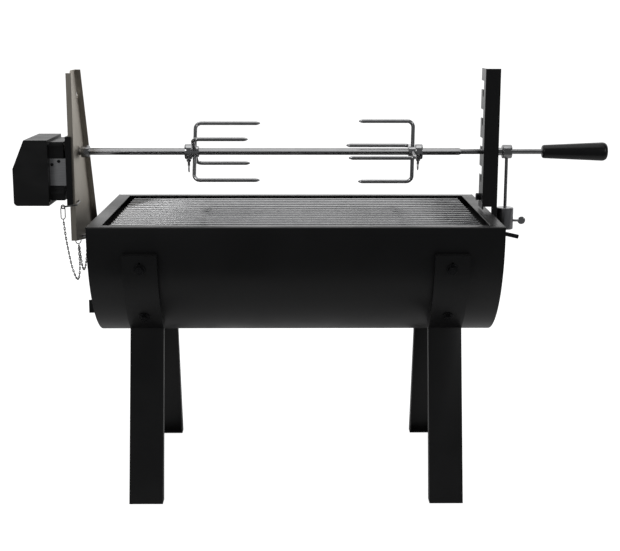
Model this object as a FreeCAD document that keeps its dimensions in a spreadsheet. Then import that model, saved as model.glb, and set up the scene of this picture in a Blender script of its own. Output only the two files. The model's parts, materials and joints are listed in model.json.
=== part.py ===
"""Charcoal spit roaster: an open half barrel on four folded legs, with two uprights, a battery
motor, and a square spit that carries two forks and a balance weight.

Millimetres. +Z is up, +X runs along the barrel towards the spit's handle, and the user stands at
-Y. Pieces are drawn about the middle of the barrel on the ground, and then moved along X so that
the origin is under the middle of the whole roaster.
"""
import FreeCAD
import Part
import Sketcher
import math
import os

from FreeCAD import Placement, Rotation, Vector

DOC = FreeCAD.newDocument("SpitRoaster")
SHEET = DOC.addObject("Spreadsheet::Sheet", "Sizes")

SIZES = [
    # barrel
    ("barrel_length", 600.0), ("barrel_radius", 175.0), ("barrel_axis_z", 407.0), ("rim_z", 418.0),
    ("rim_flange", 18.0), ("end_flange", 20.0), ("skin", 1.5), ("hem", 12.0),
    # legs
    ("leg_x", 224.0), ("leg_width", 50.0), ("leg_standoff", 12.0), ("leg_sheet", 2.0),
    ("leg_top_angle", 9.0), ("leg_bend_angle", 55.0), ("foot_y", 174.0), ("leg_depth", 20.0),
    ("upper_bolt_angle", 15.4), ("lower_bolt_angle", 43.3), ("bolt_radius", 4.0),
    # grates
    ("grate_top_z", 414.5), ("grate_wire", 2.5), ("grate_pitch", 20.0), ("grate_half_length", 273.0),
    ("coal_top_z", 296.0), ("coal_wire", 2.0),
    # spit
    ("spit_z", 508.5), ("rod_flat", 8.0), ("rod_left", -362.0), ("rod_square_end", 255.0),
    ("neck_radius", 4.0), ("grip_start", 382.0), ("grip_end", 482.5), ("fit", 0.06),
    ("tine_radius", 47.5), ("tine_wire", 3.0),
    # uprights
    ("slot_pitch", 43.8), ("left_web_x", -337.0), ("right_web_x", 288.0), ("upright_sheet", 2.0),
    ("upright_top_z", 634.0),
    # motor
    ("case_left", -426.0), ("case_right", -373.0), ("case_front", -60.0), ("case_back", 58.0),
    ("case_bottom", 432.0), ("case_top", 531.0), ("case_wall", 2.5), ("plate_x", -347.0),
    ("neck_end", -352.0), ("gear_module", 0.8), ("pinion_teeth", 12.0), ("wheel_teeth", 36.0),
    ("switch_reach", 3.0), ("switch_z", 478.0), ("battery_z", 453.5), ("battery_x", -399.0),
    # lock pins and vent
    ("lock_left_y", 92.0), ("lock_left_z", 370.0), ("lock_right_y", 0.0), ("lock_right_z", 381.0),
    ("pin_radius", 2.5), ("pin_hole", 2.8), ("anchor_y", 4.0), ("anchor_z", 376.0),
    ("vent_z", 282.0), ("vent_hole", 3.6), ("vent_pitch", 15.0), ("vent_y", -46.0),
    # chains
    ("hook_y", -25.3), ("hook_z", 435.0), ("chain_radius", 1.1),
]


class Size:
    """A length worked out from the sheet: its number, and the expression that binds it."""

    def __init__(self, number, text=None):
        self.number = float(number)
        self.text = text if text else "%.6f" % number

    def __add__(self, other):
        other = size(other)
        return Size(self.number + other.number, "(%s + %s)" % (self.text, other.text))

    def __sub__(self, other):
        other = size(other)
        return Size(self.number - other.number, "(%s - %s)" % (self.text, other.text))

    def __mul__(self, other):
        other = size(other)
        return Size(self.number * other.number, "(%s * %s)" % (self.text, other.text))

    def __truediv__(self, other):
        other = size(other)
        return Size(self.number / other.number, "(%s / %s)" % (self.text, other.text))

    def __neg__(self):
        return Size(-self.number, "(-1 * %s)" % self.text)

    def __radd__(self, other):
        return size(other) + self

    def __rsub__(self, other):
        return size(other) - self

    def __rmul__(self, other):
        return size(other) * self

    def __float__(self):
        return self.number


def size(value):
    return value if isinstance(value, Size) else Size(value)


def cos_of(angle):
    angle = size(angle)
    return Size(math.cos(math.radians(angle.number)), "cos(%s * 1 deg)" % angle.text)


def sin_of(angle):
    angle = size(angle)
    return Size(math.sin(math.radians(angle.number)), "sin(%s * 1 deg)" % angle.text)


def fill_sheet():
    """Write the driving sizes to the sheet and hand them back by name."""
    sizes = {}
    for row, (name, number) in enumerate(SIZES, start=1):
        SHEET.set("A%d" % row, name)
        SHEET.set("B%d" % row, str(number))
        SHEET.setAlias("B%d" % row, name)
        sizes[name] = Size(number, "Sizes.%s" % name)
    DOC.recompute()
    return sizes


D = fill_sheet()
MID_X = (D["grip_end"] + D["case_left"] - D["switch_reach"]) / 2
PARTS = []


def bind(thing, path, value):
    thing.setExpression(path, size(value).text)


def keep(thing, name, x=0, y=0, z=0):
    """Name a finished sub-part and set it in its place in the roaster's frame."""
    thing.Label = name
    if thing.TypeId == "Part::Feature":
        thing.Placement = Placement(Vector(float(size(x) - MID_X), float(y), float(z)), Rotation())
    else:
        bind(thing, "Placement.Base.x", size(x) - MID_X)
        bind(thing, "Placement.Base.y", y)
        bind(thing, "Placement.Base.z", z)
    PARTS.append(thing)
    return thing


class Sheetwork:
    """A PartDesign body built from outlines: each is padded or pocketed along one axis."""

    PLANES = {"X": "YZ_Plane", "Y": "XZ_Plane", "Z": "XY_Plane"}

    def __init__(self, name):
        self.body = DOC.addObject("PartDesign::Body", name + "_body")
        self.name = name
        self.count = 0

    def sketch(self, axis, offset):
        self.count += 1
        sketch = self.body.newObject("Sketcher::SketchObject", "%s_sketch_%d" % (self.name, self.count))
        role = self.PLANES[axis]
        plane = [f for f in self.body.Origin.OriginFeatures if f.Role == role][0]
        sketch.AttachmentSupport = [(plane, "")]
        sketch.MapMode = "FlatFace"
        bind(sketch, "AttachmentOffset.Base.z", -size(offset) if axis == "Y" else size(offset))
        return sketch

    def draw(self, sketch, outline):
        """Draw a closed outline. A corner is (u, v); (u, v, radius, turn) ends in an arc, where
        turn is 1 for an arc that runs counter-clockwise to the next corner, and -1 otherwise."""
        corners = [(size(c[0]), size(c[1])) + tuple(c[2:]) for c in outline]
        first = sketch.GeometryCount
        for i, corner in enumerate(corners):
            nxt = corners[(i + 1) % len(corners)]
            a = Vector(corner[0].number, corner[1].number, 0)
            b = Vector(nxt[0].number, nxt[1].number, 0)
            if len(corner) == 2:
                sketch.addGeometry(Part.LineSegment(a, b), False)
            else:
                sketch.addGeometry(arc_between(a, b, size(corner[2]).number, corner[3]), False)
        count = len(corners)
        for i, corner in enumerate(corners):
            here, before = first + i, first + (i - 1) % count
            begin = 2 if len(corner) == 4 and corner[3] < 0 else 1
            was = corners[(i - 1) % count]
            end = 1 if len(was) == 4 and was[3] < 0 else 2
            sketch.addConstraint(Sketcher.Constraint("Coincident", before, end, here, begin))
            for kind, value in (("DistanceX", corner[0]), ("DistanceY", corner[1])):
                index = sketch.addConstraint(Sketcher.Constraint(kind, -1, 1, here, begin, value.number))
                bind(sketch, "Constraints[%d]" % index, value)
            if len(corner) == 4:
                index = sketch.addConstraint(Sketcher.Constraint("Radius", here, size(corner[2]).number))
                bind(sketch, "Constraints[%d]" % index, corner[2])

    def circle(self, sketch, u, v, radius):
        u, v, radius = size(u), size(v), size(radius)
        centre = Vector(u.number, v.number, 0)
        index = sketch.addGeometry(Part.Circle(centre, Vector(0, 0, 1), radius.number), False)
        for kind, value in (("DistanceX", u), ("DistanceY", v)):
            at = sketch.addConstraint(Sketcher.Constraint(kind, -1, 1, index, 3, value.number))
            bind(sketch, "Constraints[%d]" % at, value)
        at = sketch.addConstraint(Sketcher.Constraint("Radius", index, radius.number))
        bind(sketch, "Constraints[%d]" % at, radius)

    def pad(self, axis, outline, start, length):
        """Add the outline as a solid from start, length long, along an axis."""
        offset = size(start) + length if axis == "Y" else size(start)
        sketch = self.sketch(axis, offset)
        self.draw(sketch, outline)
        pad = self.body.newObject("PartDesign::Pad", "%s_pad_%d" % (self.name, self.count))
        pad.Profile = sketch
        bind(pad, "Length", length)
        return self

    def disc(self, axis, u, v, radius, start, length):
        """Add a round disc or pin."""
        offset = size(start) + length if axis == "Y" else size(start)
        sketch = self.sketch(axis, offset)
        self.circle(sketch, u, v, radius)
        pad = self.body.newObject("PartDesign::Pad", "%s_pad_%d" % (self.name, self.count))
        pad.Profile = sketch
        bind(pad, "Length", length)
        return self

    def cut(self, axis, start, length, outline=None, holes=()):
        """Cut an outline or round holes away from start, length long, along an axis."""
        offset = size(start) if axis == "Y" else size(start) + length
        sketch = self.sketch(axis, offset)
        if outline:
            self.draw(sketch, outline)
        for u, v, radius in holes:
            self.circle(sketch, u, v, radius)
        before = self.volume()
        pocket = self.body.newObject("PartDesign::Pocket", "%s_cut_%d" % (self.name, self.count))
        pocket.Profile = sketch
        bind(pocket, "Length", length)
        if self.volume() > before - 0.01:
            raise RuntimeError("a cut in %s removes nothing" % self.name)
        return self

    def turn(self, outline):
        """Turn an outline of (x, radius) corners about the X axis."""
        sketch = self.sketch("Y", 0)
        self.draw(sketch, outline)
        name = "%s_turn_%d" % (self.name, self.count)
        revolution = self.body.newObject("PartDesign::Revolution", name)
        revolution.Profile = sketch
        revolution.ReferenceAxis = (sketch, ["H_Axis"])
        revolution.Angle = 360
        return self

    def volume(self):
        DOC.recompute()
        return self.body.Shape.Volume

    def done(self, x=0, y=0, z=0):
        return keep(self.body, self.name, x, y, z)


def arc_between(a, b, radius, turn):
    """The shorter arc of a radius from a to b, counter-clockwise when turn is 1."""
    start, end = (a, b) if turn > 0 else (b, a)
    chord = end - start
    rise = math.sqrt(max(radius * radius - chord.Length ** 2 / 4, 0))
    normal = Vector(-chord.y, chord.x, 0).normalize()
    centre = (start + end) / 2 + normal * rise
    first = math.atan2(start.y - centre.y, start.x - centre.x)
    last = math.atan2(end.y - centre.y, end.x - centre.x)
    if last < first:
        last += 2 * math.pi
    return Part.ArcOfCircle(Part.Circle(centre, Vector(0, 0, 1), radius), first, last)


def rectangle(u0, u1, v0, v1):
    return [(u0, v0), (u1, v0), (u1, v1), (u0, v1)]


def polar(radius, angle):
    """A point on a circle about the barrel's axis, below the horizontal at the front."""
    return -size(radius) * cos_of(angle), D["barrel_axis_z"] - size(radius) * sin_of(angle)


def round_bar(points, radii, radius):
    """A round bar along straight runs joined by tangent arcs of the given radii."""
    edges = []
    last = points[0]
    for before, corner, after, bend in zip(points, points[1:], points[2:], radii):
        into = (before - corner).normalize()
        out = (after - corner).normalize()
        half = into.getAngle(out) / 2
        back = bend / math.tan(half)
        start, end = corner + into * back, corner + out * back
        bisector = (into + out).normalize()
        middle = corner + bisector * (bend / math.sin(half) - bend)
        edges.append(Part.LineSegment(last, start).toShape())
        edges.append(Part.Arc(start, middle, end).toShape())
        last = end
    edges.append(Part.LineSegment(last, points[-1]).toShape())
    path = Part.Wire(edges)
    heading = (points[1] - points[0]).normalize()
    ring = Part.Wire([Part.Circle(points[0], heading, radius).toShape()])
    return path.makePipeShell([ring], True, True)


def rod(start, end, radius):
    return Part.makeCylinder(radius, (end - start).Length, start, end - start)


def feature(name, shape, x=0, y=0, z=0):
    """Keep a shape that Part's own functions made."""
    thing = DOC.addObject("Part::Feature", name + "_shape")
    thing.Shape = shape
    return keep(thing, name, x, y, z)


def num(name):
    return D[name].number


# ---------------------------------------------------------------- barrel

def barrel_shell():
    """The half-round skin with a rim flange turned in along its front and back."""
    radius, skin, axis_z = D["barrel_radius"], D["skin"], D["barrel_axis_z"]
    inner, tip, top = radius - skin, radius - D["rim_flange"], D["rim_z"]
    under = top - skin
    outline = [(-tip, top), (-radius, top), (-radius, axis_z, radius, 1), (0, axis_z - radius, radius, 1),
               (radius, axis_z), (radius, top), (tip, top), (tip, under), (inner, under),
               (inner, axis_z, inner, -1), (0, axis_z - inner, inner, -1), (-inner, axis_z),
               (-inner, under), (-tip, under)]
    length = D["barrel_length"] - skin * 2
    body = Sheetwork("barrel_shell").pad("X", outline, -length / 2, length)
    shell = body.body
    DOC.recompute()
    holes = []
    for x in (-num("leg_x"), num("leg_x")):
        for angle in (num("upper_bolt_angle"), num("lower_bolt_angle")):
            for side in (-1, 1):
                direction = radial(side, angle)
                centre = Vector(x, 0, num("barrel_axis_z")) + direction * (num("barrel_radius") - 10)
                holes.append(rod(centre, centre + direction * 20, num("bolt_radius") + 0.3))
    tools = DOC.addObject("Part::Feature", "shell_bolt_holes")
    tools.Shape = Part.makeCompound(holes)
    cut = DOC.addObject("Part::Cut", "barrel_shell_cut")
    cut.Base = shell
    cut.Tool = tools
    keep(cut, "barrel_shell")


def radial(side, angle):
    """The direction out from the barrel's axis, angle below the horizontal, on side -1 or 1."""
    turn = math.radians(angle)
    return Vector(0, side * math.cos(turn), -math.sin(turn))


def end_panels():
    """Each end is a D-shaped plate with a hem inside the skin and a rim flange turned inwards."""
    radius, skin, axis_z = D["barrel_radius"], D["skin"], D["barrel_axis_z"]
    half, top = D["barrel_length"] / 2, D["rim_z"]
    plate = [(radius, top), (-radius, top), (-radius, axis_z, radius, 1),
             (0, axis_z - radius, radius, 1), (radius, axis_z)]
    outer = radius - skin - 0.1
    inner = outer - skin
    hem = [(-outer, axis_z, outer, 1), (0, axis_z - outer, outer, 1), (outer, axis_z),
           (inner, axis_z, inner, -1), (0, axis_z - inner, inner, -1), (-inner, axis_z)]
    tip = radius - D["rim_flange"] - 0.3
    for name, side in (("left_end_panel", -1), ("right_end_panel", 1)):
        body = Sheetwork(name)
        face = half - skin if side > 0 else -half
        body.pad("X", plate, face, skin)
        near = half - skin - D["hem"] if side > 0 else skin - half
        body.pad("X", hem, near, D["hem"])
        near = half - D["end_flange"] if side > 0 else skin - half
        body.pad("Z", rectangle(near, near + D["end_flange"] - skin, -tip, tip), top - skin, skin)
        if side < 0:
            holes = [(D["lock_left_y"], D["lock_left_z"], D["pin_hole"])]
            holes += [(D["vent_y"] + D["vent_pitch"] * i, D["vent_z"], D["vent_hole"]) for i in (-1, 0, 1)]
        else:
            holes = [(D["lock_right_y"], D["lock_right_z"], D["pin_hole"])]
        body.cut("X", face, skin, holes=holes)
        body.done()


# ---------------------------------------------------------------- legs

def legs():
    """Four folded channels that follow the barrel and then splay out to the ground."""
    clear = D["barrel_radius"] + 0.3
    outer = D["barrel_radius"] + D["leg_standoff"]
    top, bend = D["leg_top_angle"], D["leg_bend_angle"]
    inner_bend = bend + 2.5
    top_out, top_in = polar(outer, top), polar(clear, top)
    bend_out, bend_in = polar(outer, bend), polar(clear, inner_bend)
    foot = D["foot_y"]
    depth, sheet = D["leg_depth"], D["leg_sheet"]
    profile = [(top_out[0], top_out[1], outer, 1), bend_out, (-foot, 0), (depth - foot, 0),
               bend_in + (clear, -1), top_in]
    web = outer - sheet
    web_top, web_bend = polar(web, top), polar(web, bend)
    shift = sheet * 1.03
    past = 8
    hollow = [(web_top[0], web_top[1], web, 1), web_bend, (shift - foot, sheet),
              (depth - foot + past, sheet), (bend_in[0] + past, bend_in[1] - past / 2),
              (bend_in[0] + past - 2, bend_in[1] + past, clear - past, -1), (top_in[0] + past, top_in[1] + 1)]
    half = D["leg_width"] / 2
    for name, x, side in (("front_left_leg", -1, 1), ("front_right_leg", 1, 1),
                          ("rear_left_leg", -1, -1), ("rear_right_leg", 1, -1)):
        body = Sheetwork(name)
        body.pad("X", [mirror(c, side) for c in profile], -half, D["leg_width"])
        body.cut("X", sheet - half, D["leg_width"] - sheet * 2, outline=[mirror(c, side) for c in hollow])
        DOC.recompute()
        holes = []
        for angle in (num("upper_bolt_angle"), num("lower_bolt_angle")):
            out = radial(-side, angle)
            centre = Vector(0, 0, num("barrel_axis_z")) + out * num("barrel_radius")
            holes.append(rod(centre, centre + out * 20, num("bolt_radius") + 0.3))
        out = radial(-side, num("upper_bolt_angle") - 3)
        centre = Vector(0, 0, num("barrel_axis_z")) + out * num("barrel_radius")
        holes.append(rod(centre, centre + out * 20, 1.6))
        tools = DOC.addObject("Part::Feature", name + "_holes")
        tools.Shape = Part.makeCompound(holes)
        cut = DOC.addObject("Part::Cut", name + "_cut")
        cut.Base = body.body
        cut.Tool = tools
        keep(cut, name, x=D["leg_x"] * x)


def mirror(corner, side):
    """Turn a corner of a front outline into the same corner at the back when side is -1."""
    if side > 0:
        return corner
    flipped = (-size(corner[0]), corner[1])
    return flipped + (corner[2], -corner[3]) if len(corner) == 4 else flipped


def leg_fasteners():
    """Bolts through each leg's web and the barrel's skin, and the nuts inside the barrel."""
    bolts, nuts = [], []
    shank, reach = num("bolt_radius"), num("leg_standoff")
    for x in (-num("leg_x"), num("leg_x")):
        for angle in (num("upper_bolt_angle"), num("lower_bolt_angle")):
            for side in (-1, 1):
                out = radial(side, angle)
                skin = Vector(x, 0, num("barrel_axis_z")) + out * num("barrel_radius")
                web = skin + out * reach
                bolts.append(bolt(web, -out, shank, reach + 14, 8.5, 1.6, 6.5, 4.5))
                inside = skin - out * (num("skin") + 0.1)
                nuts.append(hexagon(inside, -out, 6.5, 6.0, shank + 0.04))
    feature("leg_bolts", Part.makeCompound(bolts))
    feature("leg_nuts", Part.makeCompound(nuts))


def bolt(seat, way, shank, length, flange_radius, flange, head_radius, head):
    """A bolt with a round flange under a hexagon head; its shank runs along way from the seat."""
    solid = Part.makeCylinder(shank, length, seat, way)
    solid = solid.fuse(Part.makeCylinder(flange_radius, flange, seat, -way))
    top = hexagon(seat - way * flange, -way, head_radius, head)
    return solid.fuse(top).removeSplitter()


def hexagon(centre, way, radius, height, bore=None):
    """A hexagonal prism along way, with a bore when one is given."""
    turn = Rotation(Vector(0, 0, 1), way)
    corners = [centre + turn.multVec(Vector(radius * math.cos(a), radius * math.sin(a), 0))
               for a in [math.radians(60 * i) for i in range(6)]]
    solid = Part.Face(Part.makePolygon(corners + corners[:1])).extrude(way * height)
    if bore:
        solid = solid.cut(Part.makeCylinder(bore, height + 2, centre - way, way))
    return solid


# ---------------------------------------------------------------- grates

def grate_rails():
    """Two steel angles on each end panel: the upper holds the cooking grate, the lower the coals."""
    face = D["barrel_length"] / 2 - D["skin"]
    wall, shelf_width = D["skin"], 38
    for name, top, half in (("grate_rail", D["grate_top_z"] - D["grate_wire"] * 4, 120),
                            ("coal_rail", D["coal_top_z"] - D["coal_wire"] * 4, 85)):
        for end, side in (("left", -1), ("right", 1)):
            body = Sheetwork("%s_%s" % (end, name))
            back = face - wall if side > 0 else -face
            shelf = face - shelf_width if side > 0 else -face
            body.pad("X", rectangle(-half, half, top - 14, top), back, wall)
            body.pad("Z", rectangle(shelf, shelf + shelf_width, -half, half), top - wall, wall)
            body.done()


def grate(name, top, wire, half_x, half_y, count, bars, lengthways):
    """Straight wires side by side on top of the crossbars that join them."""
    solids = []
    for i in range(count):
        place = -1 + 2 * i / (count - 1)
        if lengthways:
            start = Vector(-half_x, place * half_y, top - wire)
            solids.append(Part.makeCylinder(wire, 2 * half_x, start, Vector(1, 0, 0)))
        else:
            start = Vector(place * half_x, -half_y, top - wire)
            solids.append(Part.makeCylinder(wire, 2 * half_y, start, Vector(0, 1, 0)))
    for place in bars:
        if lengthways:
            start = Vector(place, -half_y - wire, top - 3 * wire)
            solids.append(Part.makeCylinder(wire, 2 * (half_y + wire), start, Vector(0, 1, 0)))
        else:
            start = Vector(-half_x - wire, place, top - 3 * wire)
            solids.append(Part.makeCylinder(wire, 2 * (half_x + wire), start, Vector(1, 0, 0)))
    feature(name, Part.makeCompound(solids))


def grates():
    rows = 16
    grate("cooking_grate", num("grate_top_z"), num("grate_wire"), num("grate_half_length"),
          num("grate_pitch") * (rows - 1) / 2, rows, (-266, 0, 266), True)
    grate("charcoal_grate", num("coal_top_z"), num("coal_wire"), 286, 104, 24, (-78, 0, 78), False)


# ---------------------------------------------------------------- uprights

def slot_heights():
    """The heights of the right upright's four seats; the spit lies in the third."""
    return [D["spit_z"] + D["slot_pitch"] * i for i in (2, 1, 0, -1)]


def hook_slot(seat, back, half, low, high):
    """A slot that comes in from the back edge, from low to high above the seat, and drops to a
    round seat on the middle line."""
    return [(half, seat + low), (back, seat + low), (back, seat + high), (-half, seat + high),
            (-half, seat, half, 1), (0, seat - half, half, 1), (half, seat)]


def left_upright():
    """A plate with a narrow front flange turned out and a wide sloping back flange turned in. The
    spit passes through a round hole; a notch by the top is its highest seat."""
    web, sheet, top = D["left_web_x"], D["upright_sheet"], D["upright_top_z"]
    front, crest, rear = -50, -9, 115
    plate = [(front, 377), (rear, 355), (rear, 372), (crest, top), (front + 6, top), (front, top - 4)]
    body = Sheetwork("left_upright")
    body.pad("X", plate, web, sheet)
    body.pad("Y", rectangle(web - 6, web + 1, 377, top - 4), front, sheet)
    half = 6.5
    body.cut("X", web - 1, sheet + 2, outline=hook_slot(slot_heights()[0], 30, half, 12, 25))
    back = [(rear, 372), (crest, top), (crest - 2.3, top), (rear - 2.3, 372)]
    body.pad("X", back, web, 9.5)
    holes = [(0, D["spit_z"], half), (D["lock_left_y"], D["lock_left_z"], D["pin_hole"]),
             (D["anchor_y"], D["anchor_z"], 2.6), (D["hook_y"], D["hook_z"], 1.65)]
    body.cut("X", web - 1, sheet + 2, holes=holes)
    body.done()


def right_upright():
    """A wide front flange, a notched inner plate, and an outer plate that hangs over the rim."""
    web, sheet, top = D["right_web_x"], D["upright_sheet"], D["upright_top_z"] + 2
    front, back, low = -22, 20, 425
    body = Sheetwork("right_upright")
    body.pad("X", rectangle(front, back, low - 4, top), web, sheet)
    body.pad("Y", rectangle(web, web + 23, low, top), front, sheet)
    body.pad("Y", rectangle(web + 14.3, web + 23, 372, low + 1), front, sheet)
    body.pad("X", rectangle(front, back, 372, 462), web + 21, sheet)
    half = D["neck_radius"] + D["fit"]
    for seat in slot_heights():
        body.cut("X", web - 1, sheet + 2, outline=hook_slot(seat, back + 5, half, 7.5, 21))
    body.cut("X", web + 20, sheet + 2, holes=[(D["lock_right_y"], D["lock_right_z"], D["pin_hole"]),
                                              (8, 437, 3.2)])
    body.cut("X", web - 1, sheet + 2, holes=[(8, 437, 3.2)])
    body.done()


def upright_brackets():
    """A short box tube on each end panel, which the upright stands against."""
    half = D["barrel_length"] / 2
    wall = 2
    left = D["left_web_x"] + D["upright_sheet"]
    body = Sheetwork("left_upright_bracket")
    low, high = 352, 383
    body.pad("Y", [(left + 0.1, low), (-half, low), (-half, high), (left + 0.1, high)], 73.5, 33)
    body.cut("Y", 72, 36, outline=rectangle(left + 0.1 + wall, -half - wall, low + wall, high - wall))
    body.cut("X", left - 1, 40, holes=[(D["lock_left_y"], D["lock_left_z"], D["pin_hole"])])
    body.done()
    right = D["right_web_x"] + 21
    body = Sheetwork("right_upright_bracket")
    body.pad("Y", [(half, 374), (right - 0.1, 374), (right - 0.1, 410), (half, 410)], -19.9, 38)
    body.cut("Y", -21, 42, outline=rectangle(half + wall, right - 0.1 - wall, 374 + wall, 410 - wall))
    body.cut("X", half - 1, 12, holes=[(D["lock_right_y"], D["lock_right_z"], D["pin_hole"])])
    body.done()


def lock_pins():
    """Straight pins that lock the uprights, each with a pull at its outer end."""
    z, y = D["lock_left_z"], D["lock_left_y"]
    body = Sheetwork("left_lock_pin")
    shank = D["pin_radius"]
    body.turn([(-9, 0), (-9, 4.5), (-5, 5.5), (0, 5.5), (0, shank), (46, shank), (49, 0)])
    body.cut("Y", -6, 12, holes=[(-5.2, 0, 1.6)])
    body.done(D["left_web_x"] - 0.2, y, z)
    x, z = num("right_web_x") + 23.3, num("lock_right_z")
    start, bend = Vector(x - 21, 0, z), Vector(x + 9, 0, z)
    shape = round_bar([start, bend, Vector(x + 38, 0, z - 6.5)], [14], num("pin_radius"))
    shape = shape.fuse(Part.makeCylinder(4.6, 3, Vector(x, 0, z), Vector(1, 0, 0)))
    grip_way = Vector(29, 0, -6.5).normalize()
    grip = bend + grip_way * 6
    shape = shape.fuse(Part.makeCylinder(3.3, 24, grip, grip_way))
    feature("right_lock_pin", shape.removeSplitter())


def upright_bolt():
    """The black bolt across the foot of the right upright, with its thin nut outside."""
    seat = Vector(num("right_web_x"), 8, 437)
    across = num("upright_sheet") + 21
    nut_height = 2.2
    solid = Part.makeCylinder(3.0, across + nut_height, seat, Vector(1, 0, 0))
    solid = solid.fuse(hexagon(seat, Vector(-1, 0, 0), 5.6, 6))
    nut = hexagon(seat + Vector(across, 0, 0), Vector(1, 0, 0), 5.6, nut_height, 3.04)
    feature("upright_bolt", Part.makeCompound([solid.removeSplitter(), nut]))


def anchor():
    """The screw at the foot of the left upright that the chains hang from, and its ring."""
    seat = Vector(num("left_web_x"), num("anchor_y"), num("anchor_z"))
    way = Vector(1, 0, 0)
    screw = Part.makeCylinder(2.5, 7, seat, way)
    screw = screw.fuse(Part.makeCylinder(1.6, 9.5, seat - way * 9.5, way))
    screw = screw.fuse(Part.makeCylinder(4.4, 2, seat - way * 11, way))
    screw = screw.fuse(Part.makeCylinder(3.6, 1, seat - way, way))
    feature("anchor_screw", screw.removeSplitter())
    feature("anchor_ring", oval_ring(seat + Vector(-5, 0, -5.2), Vector(0.75, 0.66, 0), 7.6, 0.7, 4.8))


def oval_ring(centre, across, half_height, wire, half_width):
    """A wire ring, taller than it is wide, that hangs in the plane of Z and a level direction."""
    across = across.normalize()
    up = Vector(0, 0, 1)
    straight = half_height - half_width
    high, low = centre + up * straight, centre - up * straight
    side = across * half_width
    edges = [Part.LineSegment(low + side, high + side).toShape(),
             Part.Arc(high + side, high + up * half_width, high - side).toShape(),
             Part.LineSegment(high - side, low - side).toShape(),
             Part.Arc(low - side, low - up * half_width, low + side).toShape()]
    ring = Part.Wire([Part.Circle(low + side, up, wire).toShape()])
    return Part.Wire(edges).makePipeShell([ring], True, True)


# ---------------------------------------------------------------- motor support

def motor_plate():
    """A black channel behind the motor that hooks round both edges of the left upright."""
    x, wall = D["plate_x"], 2
    body = Sheetwork("motor_plate")
    body.pad("X", rectangle(-54, 45, 432, 536), x, wall)
    body.pad("Y", rectangle(x, x + 9, 432, 536), -54, wall)
    body.pad("Y", rectangle(x, D["left_web_x"] - 0.1, 432, 536), 43, wall)
    body.cut("X", x - 1, 4, holes=[(0, D["spit_z"], 9)] + [(y, 481.5, 2.1) for y in (-32, 32)])
    body.done()


def motor_strap():
    """A grey steel channel that holds the motor's neck and is screwed to the plate."""
    body = Sheetwork("motor_strap")
    right = D["plate_x"]
    body.pad("Z", [(D["case_right"] + 0.2, -44), (right - 0.1, -44), (right - 0.1, 44),
                   (D["case_right"] + 0.2, 44), (D["case_right"] + 0.2, 42.1), (right - 2.1, 42.1),
                   (right - 2.1, -42.1), (D["case_right"] + 0.2, -42.1)], 461, 41)
    body.cut("X", right - 3, 4, holes=[(0, D["spit_z"], 9)] + [(y, 481.5, 2.1) for y in (-32, 32)])
    body.cut("Y", -45, 4, holes=[(-369.3, 493, 1.5), (-359.0, 498, 1.5)])
    body.done()
    screws = []
    for y in (-32, 32):
        seat = Vector(num("plate_x") + 2, y, 481.5)
        screw = Part.makeCylinder(2.0, 8.5, seat, Vector(-1, 0, 0))
        screws.append(screw.fuse(Part.makeCylinder(3.8, 2.4, seat, Vector(1, 0, 0))).removeSplitter())
    for x, z in ((-369.3, 493), (-359.0, 498)):
        seat = Vector(x, -44, z)
        screw = Part.makeCylinder(1.45, 6, seat, Vector(0, 1, 0))
        screws.append(screw.fuse(Part.makeCylinder(2.4, 1.0, seat, Vector(0, -1, 0))).removeSplitter())
    feature("motor_screws", Part.makeCompound(screws))


# ---------------------------------------------------------------- motor

def case_outline(inset):
    """The case seen from the front: square inside, sloped outside, rounded below."""
    left, right = D["case_left"] + inset, D["case_right"]
    bottom, top = D["case_bottom"] + inset, D["case_top"] - inset
    corner = 6 - inset
    return [(left + corner, bottom), (right, bottom), (right, top), (left + 18 - inset * 0.3, top),
            (left, top - 43 + inset), (left, bottom + corner, corner, 1)]


SCREW_PLACES = [(y, z) for y in (-53.5, 51.5) for z in (440, 523)]


def motor_case():
    """The moulded outer shell of the motor, open towards the neck."""
    front, depth, wall = D["case_front"], D["case_back"] - D["case_front"], D["case_wall"]
    body = Sheetwork("motor_case")
    body.pad("Y", case_outline(0), front, depth)
    body.cut("Y", front + wall, depth - wall * 2, outline=case_outline(2.5))
    for y, z in SCREW_PLACES:
        body.disc("X", y, z, 4.5, -402, 26)
        body.cut("X", -398, 30, holes=[(y, z, 1.3)])
    body.cut("X", D["case_left"] - 1, wall + 2, outline=rectangle(-34, -21, 475, 481))
    body.cut("Y", D["case_back"] - 3, 5, outline=rectangle(-417, -381, 437.5, 471))
    for x in (-413.6, -387.6):
        body.pad("X", [(57.5, 432), (62.6, 432), (62.6, 437), (57.5, 437)], x, 3)
    body.cut("X", -420, 45, holes=[(60.6, 434.6, 1.3)])
    body.done()


def motor_cover():
    """The inner cover of the motor with its hollow neck and the bearing seats for the drive."""
    x, wall, neck = D["case_right"], D["case_wall"], D["neck_end"]
    body = Sheetwork("motor_cover")
    idler = gears()["idler"]
    body.pad("X", rectangle(-57.4, 55.4, 434.6, 528.4), x - wall, wall)
    body.pad("X", rectangle(-42, 42, 438, 527), x - 0.1, neck - x + 0.1)
    for z in (447.5, 520.5):
        body.pad("X", rectangle(-43.6, 43.6, z, z + 5.5), x - 0.1, neck - x)
    body.cut("X", x, neck - x - wall, outline=rectangle(-39.5, 39.5, 440.5, 524.5))
    body.cut("X", x - 4, 30, holes=[(0, D["spit_z"], 9.6)])
    body.cut("X", x - 4, 6, holes=[(y, z, 1.7) for y, z in SCREW_PLACES] + [(idler[0], idler[1], 1.5)])
    body.done()


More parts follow.
